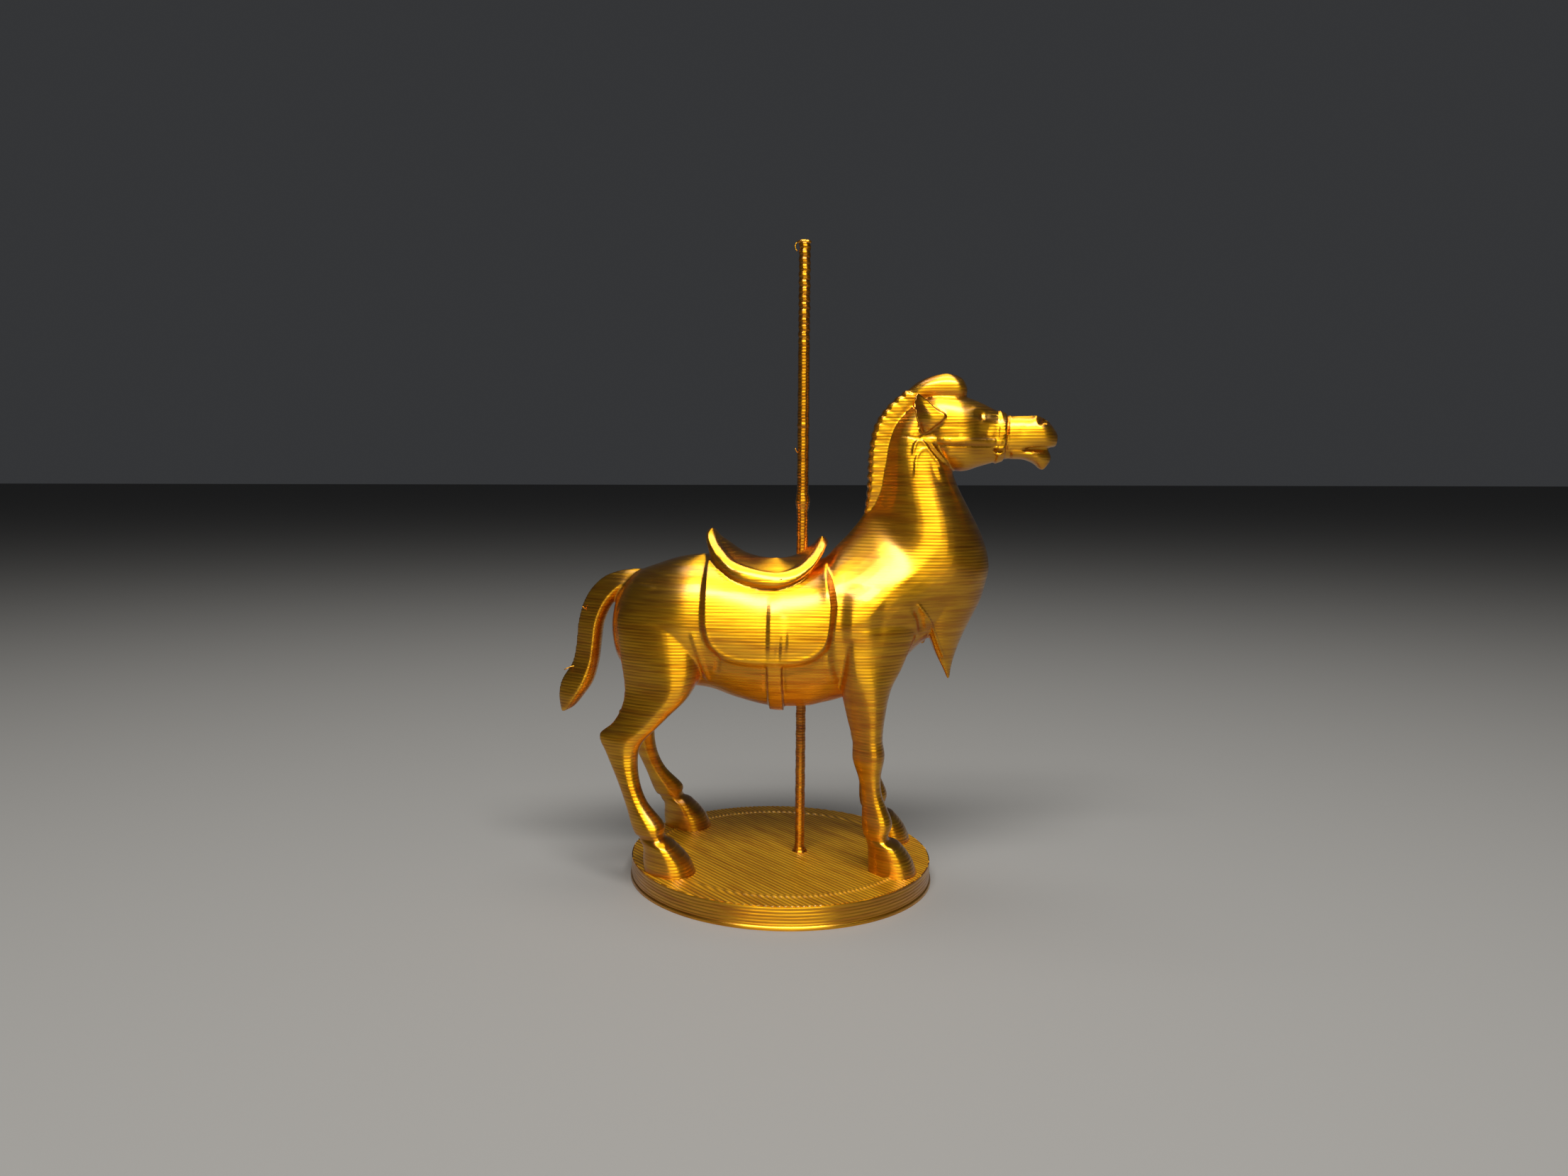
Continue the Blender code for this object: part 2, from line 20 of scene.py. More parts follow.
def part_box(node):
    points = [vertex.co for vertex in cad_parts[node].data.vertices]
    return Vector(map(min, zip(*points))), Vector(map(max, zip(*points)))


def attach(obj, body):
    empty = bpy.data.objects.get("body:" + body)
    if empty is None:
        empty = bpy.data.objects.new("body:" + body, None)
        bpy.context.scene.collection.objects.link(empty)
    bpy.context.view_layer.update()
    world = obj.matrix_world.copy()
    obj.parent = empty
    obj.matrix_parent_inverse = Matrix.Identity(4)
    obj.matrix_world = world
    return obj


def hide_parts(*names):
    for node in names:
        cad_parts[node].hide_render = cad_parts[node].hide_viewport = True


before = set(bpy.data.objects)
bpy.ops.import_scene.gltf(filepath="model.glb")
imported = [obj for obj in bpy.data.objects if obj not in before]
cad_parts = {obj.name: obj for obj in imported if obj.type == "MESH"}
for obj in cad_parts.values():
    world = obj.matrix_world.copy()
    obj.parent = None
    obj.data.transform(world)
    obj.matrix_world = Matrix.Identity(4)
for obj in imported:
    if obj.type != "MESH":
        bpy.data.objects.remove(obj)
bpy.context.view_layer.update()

LOG = logging.getLogger("carousel_camel")
MM = 0.001
NODE = "carousel_camel"
BODY = "root"

Row = Sequence[float]
Point = tuple[float, float, float]

LAYER_HEIGHT = 0.28
LINE_WIDTH = 0.42
BASE_TOP = 2.0
RASTER_DEGREES = -48.5  # how the lines on the base's top run, from +X

CURVE_STEPS = 5  # pieces that each gap of a given line becomes
END_SHARE = 0.25  # of its depth that a stroke has left at its very end
FACING_GAIN = 1.8  # how soon a stroke fades where the skin turns up, down or along
BAND_FLAT, BAND_SLOPE = 0.55, 0.45  # shares of a band's half width that lie flat and slope off


def srgb(colour: str) -> tuple[float, float, float, float]:
    """Turn an sRGB hex colour into the linear values that a shader takes.

    Args:
        colour: six hex digits after a hash mark.

    Returns:
        Linear red, green and blue, and full opacity.
    """
    shares = [int(colour[i:i + 2], 16) / 255 for i in (1, 3, 5)]
    red, green, blue = [s / 12.92 if s <= 0.04045 else ((s + 0.055) / 1.055) ** 2.4 for s in shares]
    return red, green, blue, 1.0


def add_node(tree: bpy.types.NodeTree, kind: str, settings: dict | None = None,
             links: dict | None = None) -> bpy.types.Node:
    """Add one shader node with its settings, socket values and links.

    Args:
        tree: node tree to add to.
        kind: node type, such as ShaderNodeMath.
        settings: attribute names, or input sockets by name or number, with their values.
        links: input sockets by name or number, with the output socket that feeds each.

    Returns:
        The new node.
    """
    node = tree.nodes.new(kind)
    for name, value in (settings or {}).items():
        if isinstance(name, int) or name in node.inputs:
            node.inputs[name].default_value = value
        else:
            setattr(node, name, value)
    for name, source in (links or {}).items():
        tree.links.new(source, node.inputs[name])
    return node


def catmull(a: float, b: float, c: float, d: float, t: float) -> float:
    """Read the smooth curve through a, b, c and d at share t between b and c."""
    bend, twist = 2 * a - 5 * b + 4 * c - d, 3 * b - a - 3 * c + d
    return 0.5 * (2 * b + (c - a) * t + bend * t * t + twist * t ** 3)


def smooth_rows(rows: Sequence[Row], steps: int) -> list[list[float]]:
    """Put further rows between rows of numbers, on a smooth curve.

    Args:
        rows: rows of equal length.
        steps: how many rows each gap becomes.

    Returns:
        The first row to the last, closely spaced.
    """
    padded = [rows[0], *rows, rows[-1]]
    result = []
    for i in range(1, len(padded) - 2):
        for step in range(steps):
            result.append([catmull(*values, step / steps) for values in zip(*padded[i - 1:i + 3])])
    result.append(list(rows[-1]))
    return result


def read_line(points: Sequence[Row], at: float) -> float:
    """Read a smooth line at a place.

    Args:
        points: the line's points, each (place, height).
        at: the place.

    Returns:
        The height there.
    """
    last = len(points) - 1
    i = max(0, min(last - 1, sum(at > place for place, _ in points) - 1))
    share = (at - points[i][0]) / (points[i + 1][0] - points[i][0])
    near = [points[max(0, min(last, i + k))][1] for k in (-1, 0, 1, 2)]
    return catmull(*near, max(0.0, min(1.0, share)))


def rounded(angle: float, squareness: float) -> tuple[float, float]:
    """Give a point of a rounded ring.

    Args:
        angle: how far round the ring.
        squareness: 2 for an ellipse, less for a lozenge, more for a box.

    Returns:
        Shares of the ring's half sizes, as cosine and sine are for a circle.
    """
    power = 2 / squareness
    c, s = math.cos(angle), math.sin(angle)
    return math.copysign(abs(c) ** power, c), math.copysign(abs(s) ** power, s)


def deselect() -> None:
    """Leave nothing selected, so that an operator acts only on what is picked next."""
    for item in list(bpy.context.selected_objects):
        item.select_set(False)


def make_active(item: bpy.types.Object) -> None:
    """Select one object alone and make it the active one.

    Args:
        item: the object.
    """
    deselect()
    item.select_set(True)
    bpy.context.view_layer.objects.active = item


def apply_modifiers(item: bpy.types.Object) -> None:
    """Apply an object's modifiers in their order.

    Args:
        item: the object.
    """
    make_active(item)
    for name in [modifier.name for modifier in item.modifiers]:
        bpy.ops.object.modifier_apply(modifier=name)


def mesh_object(name: str, mesh: bmesh.types.BMesh) -> bpy.types.Object:
    """Turn a finished mesh into an object of the scene.

    Args:
        name: the object's name.
        mesh: its mesh, which is freed.

    Returns:
        The object.
    """
    data = bpy.data.meshes.new(name)
    mesh.to_mesh(data)
    mesh.free()
    item = bpy.data.objects.new(name, data)
    bpy.context.scene.collection.objects.link(item)
    return item


def join_rings(mesh: bmesh.types.BMesh, rings: Sequence[Sequence[Point]]) -> None:
    """Close a row of equal rings of points into one body.

    Args:
        mesh: mesh to add to.
        rings: rings of points, first to last.
    """
    loops = [[mesh.verts.new(point) for point in ring] for ring in rings]
    for first, second in zip(loops, loops[1:]):
        for i in range(len(first)):
            j = (i + 1) % len(first)
            mesh.faces.new((first[i], first[j], second[j], second[i]))
    mesh.faces.new(list(reversed(loops[0])))
    mesh.faces.new(loops[-1])


def triangle_count(item: bpy.types.Object) -> int:
    """Count the triangles that an object's mesh comes to."""
    return sum(len(polygon.vertices) - 2 for polygon in item.data.polygons)


def finish_piece(item: bpy.types.Object, material: bpy.types.Material, sharp_degrees: float) -> None:
    """Scale a piece to metres, dress it and hand it to the frame.

    Args:
        item: mesh object modelled in millimetres, at the origin.
        material: its finish.
        sharp_degrees: edges that turn by more than this stay sharp.
    """
    item.data.transform(Matrix.Scale(MM, 4))
    item.data.materials.clear()
    item.data.materials.append(material)
    make_active(item)
    bpy.ops.object.shade_smooth_by_angle(angle=math.radians(sharp_degrees))
    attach(item, BODY)
    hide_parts(NODE)
    LOG.info("%s: %d triangles", item.name, triangle_count(item))


class LineRun(Enum):
    """Which way a print's lines run on a surface."""

    LAYERS = "level layers up the height"
    RASTER = "slanting lines side by side on a flat top"


@dataclass(frozen=True)
class SilkPlastic:
    """Silk PLA, melted through a nozzle in level lines: a satin, metal-like gold with a clear skin.

    The pigment gives metallic reflections in the body colour, and the clear skin gives near white ones. Each
    rounded line spreads a highlight up and down, so highlights stand as upright bands. Depths, lengths and
    the grains (length, width) of the streaks are real sizes in millimetres.
    """

    name: str
    runs: LineRun = LineRun.LAYERS
    colour: str = "#EBA816"
    deep_colour: str = "#CC8209"
    metallic: float = 0.99
    roughness: float = 0.38
    roughness_range: float = 0.12
    coat: float = 0.6
    coat_roughness: float = 0.25
    spread: float = 0.9
    line_depth: float = 0.015
    terrace: float = 1.2
    streak_length: float = 7.0
    streak_weight: float = 2.4
    # Painted shade: how much darker the colour gets in the grooves between lines.
    groove_shade: float = 0.0
    groove_from: float = -0.6
    shade_grain: tuple[float, float] = (5.0, 0.5)
    shade_ends: tuple[float, float] = (0.3, 0.6)
    sheen_grain: tuple[float, float] = (4.0, 0.2)
    sheen_ends: tuple[float, float] = (0.3, 0.7)
    streak_detail: float = 2.0
    streak_mix: float = 0.6
    level_power: float = 4.0
    raster_degrees: float = RASTER_DEGREES

    def build(self) -> bpy.types.Material:
        """Build the material, whose lines are at their real spacing in object space.

        Returns:
            The finished material.
        """
        material = bpy.data.materials.new(self.name)
        material.use_nodes = True
        tree = material.node_tree
        shader = tree.nodes["Principled BSDF"]
        shader.inputs["Metallic"].default_value = self.metallic
        shader.inputs["Coat Weight"].default_value = self.coat
        shader.inputs["Coat Roughness"].default_value = self.coat_roughness
        shader.inputs["Anisotropic"].default_value = self.spread
        place = add_node(tree, "ShaderNodeTexCoord").outputs["Object"]
        across = self.across_lines(tree, place)
        height = self.line_height(tree, place, across)
        bump = add_node(tree, "ShaderNodeBump", {"Strength": 1.0, "Distance": self.line_depth * MM},
                        {"Height": height})
        tree.links.new(bump.outputs["Normal"], shader.inputs["Normal"])
        spread_way = add_node(tree, "ShaderNodeVectorTransform",
                              {"vector_type": "VECTOR", "convert_from": "OBJECT", "convert_to": "WORLD",
                               "Vector": self.across_way()})
        tree.links.new(spread_way.outputs["Vector"], shader.inputs["Tangent"])
        tree.links.new(self.body_colour(tree, place, across), shader.inputs["Base Color"])
        tree.links.new(self.sheen(tree, place), shader.inputs["Roughness"])
        return material

    def across_way(self) -> Vector:
        """Give the direction across the lines, in which they spread a highlight.

        Returns:
            A unit vector.
        """
        if self.runs is LineRun.LAYERS:
            return Vector((0.0, 0.0, 1.0))
        slant = math.radians(self.raster_degrees)
        return Vector((-math.sin(slant), math.cos(slant), 0.0))

    def across_lines(self, tree: bpy.types.NodeTree, place: bpy.types.NodeSocket) -> bpy.types.NodeSocket:
        """Count lines across their run, one for each line.

        Args:
            tree: the material's nodes.
            place: position on the piece.

        Returns:
            The count, whole at the groove between two lines.
        """
        pitch = LAYER_HEIGHT if self.runs is LineRun.LAYERS else LINE_WIDTH
        along = add_node(tree, "ShaderNodeVectorMath",
                         {"operation": "DOT_PRODUCT", 1: self.across_way() / (pitch * MM)}, {0: place})
        return along.outputs["Value"]

    def streaks(self, tree: bpy.types.NodeTree, place: bpy.types.NodeSocket, length: float,
                width: float) -> bpy.types.NodeSocket:
        """Draw uneven streaks that run along the lines.

        Args:
            tree: the material's nodes.
            place: position on the piece.
            length: how long a streak is, in millimetres.
            width: how wide it is, in millimetres.

        Returns:
            Values around a half.
        """
        long_way, short_way = 1 / (length * MM), 1 / (width * MM)
        if self.runs is LineRun.LAYERS:
            turn, scale = Vector((0.0, 0.0, 0.0)), Vector((long_way, long_way, short_way))
        else:
            turn = Vector((0.0, 0.0, -math.radians(self.raster_degrees)))
            scale = Vector((long_way, short_way, long_way))
        turned = add_node(tree, "ShaderNodeMapping", {"Rotation": turn}, {"Vector": place})
        stretched = add_node(tree, "ShaderNodeMapping", {"Scale": scale},
                             {"Vector": turned.outputs["Vector"]})
        return add_node(tree, "ShaderNodeTexNoise",
                        {"Scale": 1.0, "Detail": self.streak_detail, "Roughness": self.streak_mix},
                        {"Vector": stretched.outputs["Vector"]}).outputs["Fac"]

    def line_height(self, tree: bpy.types.NodeTree, place: bpy.types.NodeSocket,
                    across: bpy.types.NodeSocket) -> bpy.types.NodeSocket:
        """Shape each line's rounded back, with the unevenness from line to line.

        Args:
            tree: the material's nodes.
            place: position on the piece.
            across: the count of lines.

        Returns:
            Height as a share of the line's depth.
        """
        turn = add_node(tree, "ShaderNodeMath", {"operation": "MULTIPLY", 1: math.pi}, {0: across})
        wave = add_node(tree, "ShaderNodeMath", {"operation": "SINE"}, {0: turn.outputs[0]})
        ridge = add_node(tree, "ShaderNodeMath", {"operation": "ABSOLUTE"}, {0: wave.outputs[0]})
        streaks = self.streaks(tree, place, self.streak_length, LAYER_HEIGHT)
        uneven = add_node(tree, "ShaderNodeMath", {"operation": "MULTIPLY_ADD", 1: self.streak_weight},
                          {0: streaks, 2: ridge.outputs[0]})
        if self.runs is LineRun.RASTER:
            return uneven.outputs[0]
        facing = add_node(tree, "ShaderNodeSeparateXYZ", {},
                          {"Vector": add_node(tree, "ShaderNodeTexCoord").outputs["Normal"]})
        level = add_node(tree, "ShaderNodeMath", {"operation": "POWER", 1: self.level_power},
                         {0: facing.outputs["Z"]})
        step = add_node(tree, "ShaderNodeMath", {"operation": "FRACT"}, {0: across})
        terrace = add_node(tree, "ShaderNodeMath", {"operation": "MULTIPLY"},
                           {0: level.outputs[0], 1: step.outputs[0]})
        return add_node(tree, "ShaderNodeMath", {"operation": "MULTIPLY_ADD", 1: self.terrace},
                        {0: terrace.outputs[0], 2: uneven.outputs[0]}).outputs[0]

    def body_colour(self, tree: bpy.types.NodeTree, place: bpy.types.NodeSocket,
                    across: bpy.types.NodeSocket) -> bpy.types.NodeSocket:
        """Vary the gold a little from layer to layer, and darken the grooves between lines with painted
        shade.

        Args:
            tree: the material's nodes.
            place: position on the piece.
            across: the count of lines.

        Returns:
            The colour.
        """
        ramp = add_node(tree, "ShaderNodeValToRGB", {}, {"Fac": self.streaks(tree, place, *self.shade_grain)})
        ends = zip(ramp.color_ramp.elements, self.shade_ends, (self.deep_colour, self.colour))
        for element, position, colour in ends:
            element.position, element.color = position, srgb(colour)
        if not self.groove_shade:
            return ramp.outputs["Color"]
        # Painted shade: the colour darkens by up to groove_shade towards each groove between two lines.
        turn = add_node(tree, "ShaderNodeMath", {"operation": "MULTIPLY", 1: 2 * math.pi}, {0: across})
        wave = add_node(tree, "ShaderNodeMath", {"operation": "COSINE"}, {0: turn.outputs[0]})
        shade = add_node(tree, "ShaderNodeMapRange",
                         {"From Min": self.groove_from, "From Max": 1.0, "To Min": 1.0,
                          "To Max": 1 - self.groove_shade},
                         {"Value": wave.outputs[0]})
        return add_node(tree, "ShaderNodeVectorMath", {"operation": "SCALE"},
                        {0: ramp.outputs["Color"], "Scale": shade.outputs["Result"]}).outputs[0]

    def sheen(self, tree: bpy.types.NodeTree, place: bpy.types.NodeSocket) -> bpy.types.NodeSocket:
        """Vary the roughness, because each line cools a little differently.

        Args:
            tree: the material's nodes.
            place: position on the piece.

        Returns:
            The roughness.
        """
        half, (low, high) = self.roughness_range / 2, self.sheen_ends
        return add_node(tree, "ShaderNodeMapRange",
                        {"From Min": low, "From Max": high, "To Min": self.roughness - half,
                         "To Max": self.roughness + half},
                        {"Value": self.streaks(tree, place, *self.sheen_grain)}).outputs["Result"]


def beside(points: Sequence[tuple[float, float]], by: float) -> tuple[tuple[float, float], ...]:
    """Move a line in side view sideways.

    Args:
        points: the line's points, each (x, z).
        by: how far to its left, or to its right where it is below 0.

    Returns:
        The moved line.
    """
    result = []
    for i, (x, z) in enumerate(points):
        (x1, z1), (x2, z2) = points[max(0, i - 1)], points[min(len(points) - 1, i + 1)]
        length = math.dist((x1, z1), (x2, z2))
        result.append((x - (z2 - z1) / length * by, z + (x2 - x1) / length * by))
    return tuple(result)


class Profile(Enum):
    """Cross-section of a carved stroke."""

    ROUND = "round"
    CREASE = "crease"
    BAND = "band"

    def height(self, share: np.ndarray) -> np.ndarray:
        """Give the height at shares of the stroke's half width.

        Args:
            share: 0 on the stroke's line and 1 at its edge.

        Returns:
            Height from 1 on the line to 0 at the edge.
        """
        if self is Profile.ROUND:
            return (1 - share ** 2) ** 2
        if self is Profile.CREASE:
            return (1 - share) ** 2
        shoulder = np.clip((share - BAND_FLAT) / BAND_SLOPE, 0.0, 1.0)
        return 1 - shoulder * shoulder * (3 - 2 * shoulder)


@dataclass(frozen=True)
class Stroke:
    """A groove (depth below 0) or ridge (above 0) carved along a line in side view, the same on both flanks.

    It is carved from side_from off the middle plane outwards, fades over taper at its ends, and stays on
    faces that look outwards unless it goes all round.
    """

    path: tuple[tuple[float, float], ...]
    width: float
    depth: float
    profile: Profile = Profile.ROUND
    side_from: float = 0.4
    taper: float = 0.6
    all_round: bool = False

    def carve(self, places: np.ndarray, normals: np.ndarray, moves: np.ndarray) -> None:
        """Add the stroke's moves to the skin's points, along their normals.

        Args:
            places: the skin's points, in millimetres.
            normals: their outward normals.
            moves: each point's move, which this adds to.
        """
        path = np.array(smooth_rows(self.path, CURVE_STEPS))
        near = self.near(places, path)
        spots = places[near][:, (0, 2)]
        gaps, along, start_at = np.full(len(near), np.inf), np.zeros(len(near)), 0.0
        for start, end in zip(path, path[1:]):
            step = end - start
            length = float(np.linalg.norm(step))
            off = spots - start
            share = np.clip(off @ step / length ** 2, 0.0, 1.0)
            gap = np.linalg.norm(off - share[:, None] * step, axis=1)
            closer = gap < gaps
            gaps[closer] = gap[closer]
            along[closer] = start_at + share[closer] * length
            start_at += length
        ends = np.clip(np.minimum(along, start_at - along) / self.taper + END_SHARE, 0.0, 1.0)
        pull = self.depth * self.profile.height(np.clip(gaps / self.width, 0.0, 1.0)) * ends
        if not self.all_round:
            pull *= np.clip(normals[near, 1] * np.sign(places[near, 1]) * FACING_GAIN, 0.0, 1.0)
        moves[near] += normals[near] * pull[:, None]

    def near(self, places: np.ndarray, path: np.ndarray) -> np.ndarray:
        """Pick the points of the skin that lie near the stroke in side view.

        Args:
            places: the skin's points.
            path: the stroke's smoothed line, each point (x, z).

        Returns:
            The picked points' numbers.
        """
        flat, side = places[:, (0, 2)], np.abs(places[:, 1])
        low, high = path.min(axis=0) - self.width, path.max(axis=0) + self.width
        boxed = np.all((flat > low) & (flat < high), axis=1)
        return np.flatnonzero(boxed & (side >= self.side_from))


@dataclass(frozen=True)
class Loft:
    """A trunk, limb or lock of hair given by stations along it.

    Each station is (edge 1 x, z, edge 2 x, z, side, half width): two points of its outline in side view, the
    ring's middle off the middle plane, and its half width across. A seventh number is its squareness towards
    edge 1, and an eighth is how far its widest place leans towards edge 2, up to 0.5.
    """

    rows: tuple[tuple[float, ...], ...]
    squareness: float = 2.0
    paired: bool = False
    steps: int = 7
    ring_sides: int = 48

    def rings(self, side: int) -> list[list[Point]]:
        """Shape the loft's rings.

        Args:
            side: 1 for the camel's left and -1 for its right.

        Returns:
            Rings of points.
        """
        angles = [2 * math.pi * i / self.ring_sides for i in range(self.ring_sides)]
        result = []
        missing = {6: (self.squareness, 0.0), 7: (0.0,), 8: ()}
        full_rows = [(*row, *missing[len(row)]) for row in self.rows]
        for x1, z1, x2, z2, y, half, first, lean in smooth_rows(full_rows, self.steps):
            x, z, reach_x, reach_z = (x1 + x2) / 2, (z1 + z2) / 2, (x1 - x2) / 2, (z1 - z2) / 2
            ring = []
            for angle in angles:
                c, s = rounded(angle, first if math.cos(angle) > 0 else self.squareness)
                along = c - lean * (1 - c * c)
                ring.append((x + reach_x * along, side * (y + half * s), z + reach_z * along))
            result.append(ring)
        return result


class Clay:
    """The forms that are printed as one, gathered in one mesh and then fused into a single skin."""

    def __init__(self) -> None:
        """Start with no form."""
        self.mesh = bmesh.new()

    def skin(self, rings: Sequence[Sequence[Point]]) -> None:
        """Add a body closed from a row of equal rings of points."""
        join_rings(self.mesh, rings)

    def loft(self, form: Loft) -> None:
        """Add a loft, or a pair of them."""
        for side in (-1, 1) if form.paired else (1,):
            self.skin(form.rings(side))

    def cord(self, points: Sequence[Row], radius: float, sides: int) -> None:
        """Add a round tube along a smooth line.

        Args:
            points: places that the line passes.
            radius: the tube's radius.
            sides: corners of its section.
        """
        path = [Vector(row) for row in smooth_rows(points, CURVE_STEPS)]
        off_line = Vector((0.0, 0.3, 1.0))  # no string here runs along it
        rings = []
        for i, point in enumerate(path):
            along = (path[min(len(path) - 1, i + 1)] - path[max(0, i - 1)]).normalized()
            across = along.cross(off_line).normalized()
            up = across.cross(along)
            angles = [2 * math.pi * k / sides for k in range(sides)]
            rings.append([point + (across * math.cos(a) + up * math.sin(a)) * radius for a in angles])
        self.skin(rings)

    def ball(self, place: Row, radii: Row) -> None:
        """Add a rounded lump.

        Args:
            place: its middle.
            radii: its half sizes along x, y and z.
        """
        lump = bmesh.ops.create_uvsphere(self.mesh, u_segments=20, v_segments=14, radius=1.0)
        bmesh.ops.scale(self.mesh, verts=lump["verts"], vec=Vector(radii))
        bmesh.ops.translate(self.mesh, verts=lump["verts"], vec=Vector(place))

    def fuse(self, name: str, voxel: float, relax_rounds: int) -> bpy.types.Object:
        """Fuse all forms into one closed skin.

        Args:
            name: the new object's name.
            voxel: grain of the fused skin.
            relax_rounds: rounds of smoothing over the grain.

        Returns:
            The object, still in millimetres.
        """
        bmesh.ops.recalc_face_normals(self.mesh, faces=self.mesh.faces)
        item = mesh_object(name, self.mesh)
        join = item.modifiers.new("Join", "REMESH")
        join.mode = "VOXEL"
        join.voxel_size = voxel
        relax = item.modifiers.new("Relax", "SMOOTH")
        relax.factor = 0.5
        relax.iterations = relax_rounds
        apply_modifiers(item)
        return item


class Carving:
    """A part of the camel that adds forms to the clay and strokes to its skin."""

    strokes: tuple[Stroke, ...] = ()

    def add_to(self, clay: Clay) -> None:
        """Add this part's forms to the clay."""

    def marks(self) -> Iterable[Stroke]:
        """Give the strokes that finish this part."""
        return self.strokes


@dataclass
class Trunk(Carving):
    """Barrel, rump, breast and neck, with the folds of skin at shoulder and flank."""

    torso: Loft = Loft((
        (-15.65, 24.9, -15.65, 22.0, 0, 1.5, 2.1),
        (-15.1, 26.7, -15.1, 20.2, 0, 2.8, 2.1),
        (-13.6, 28.4, -13.6, 18.8, 0, 4.25, 2.1),
        (-11.5, 29.3, -11.5, 18.2, 0, 5.25, 2.1),
        (-9.0, 30.05, -9.0, 18.0, 0, 5.95, 2.1),
        (-6.5, 30.2, -6.5, 17.75, 0, 6.2, 2.1),
        (-4.0, 29.6, -4.0, 16.9, 0, 6.25, 2.15),
        (-1.0, 28.9, -1.0, 16.2, 0, 6.3, 2.2),
        (2.0, 29.2, 2.2, 16.2, 0, 6.25, 2.35),
        (3.8, 29.8, 3.9, 16.55, 0, 6.2, 2.0),
        (5.0, 31.05, 5.4, 16.95, 0, 6.1, 1.65),
        (6.1, 32.2, 9.0, 18.3, 0, 6.05, 1.42, 0.02),
        (7.2, 33.6, 12.4, 21.9, 0, 5.55, 1.2, 0.03),
        (8.0, 35.0, 15.6, 24.4, 0, 4.75, 1.2, 0.08),
        (8.5, 36.3, 18.1, 27.4, 0, 4.4, 1.45, 0.12),
        (8.8, 37.6, 18.45, 30.6, 0, 3.8, 1.6, 0.03),
        (9.0, 39.0, 17.35, 33.5, 0, 3.25, 1.7),
        (9.3, 40.6, 16.1, 35.95, 0, 2.8, 1.9),
        (10.0, 42.4, 15.4, 37.6, 0, 2.5, 2.0),
        (11.4, 44.0, 14.8, 39.6, 0, 2.2, 2.0),
    ), squareness=2.1)
    close_steps: int = 16
    # The folds between barrel and legs, and the shoulder's ridge.
    strokes: tuple[Stroke, ...] = (
        Stroke(((5.3, 26.4), (5.35, 24.4), (5.4, 22.2), (5.75, 19.6)), 1.2, -0.24, side_from=3.0, taper=4.0),
        Stroke(((4.25, 22.8), (4.35, 21.0), (5.0, 18.8)), 0.6, 0.1, side_from=3.0, taper=1.5),
        Stroke(((7.6, 27.9), (7.2, 25.5), (6.8, 22.6)), 2.1, 0.28, side_from=3.0, taper=1.8),
        Stroke(((-7.6, 23.6), (-6.95, 21.4), (-6.35, 19.0)), 0.4, 0.1, side_from=3.0),
        Stroke(((-5.9, 22.4), (-5.35, 21.2), (-5.6, 19.9)), 0.4, -0.12, side_from=3.0),
    )

    @cached_property
    def close_rows(self) -> list[list[float]]:
        """Space the torso's stations closely."""
        return smooth_rows(self.torso.rows, self.close_steps)

    def section(self, x: float) -> tuple[float, float, float]:
        """Give the barrel's middle height, half height and half width at x."""
        near = min(self.close_rows, key=lambda row: abs((row[0] + row[2]) / 2 - x))
        return (near[1] + near[3]) / 2, (near[1] - near[3]) / 2, near[5]

    def surface_point(self, x: float, angle: float, lift: float) -> Vector:
        """Give a point on the barrel.

        Args:
            x: place along the camel.
            angle: how far round the barrel from its top.
            lift: how far off its surface.

        Returns:
            The point.
        """
        middle, half_height, half_width = self.section(x)
        side, up = (half_width + lift) * math.sin(angle), (half_height + lift) * math.cos(angle)
        return Vector((x, side, middle + up))

    def angle_at(self, x: float, z: float) -> float:
        """Give the angle from the barrel's top at which its surface at x is at height z."""
        middle, half_height, _ = self.section(x)
        return math.acos(max(-1.0, min(1.0, (z - middle) / half_height)))

    def add_to(self, clay: Clay) -> None:
        """Add the trunk to the clay."""
        clay.loft(self.torso)


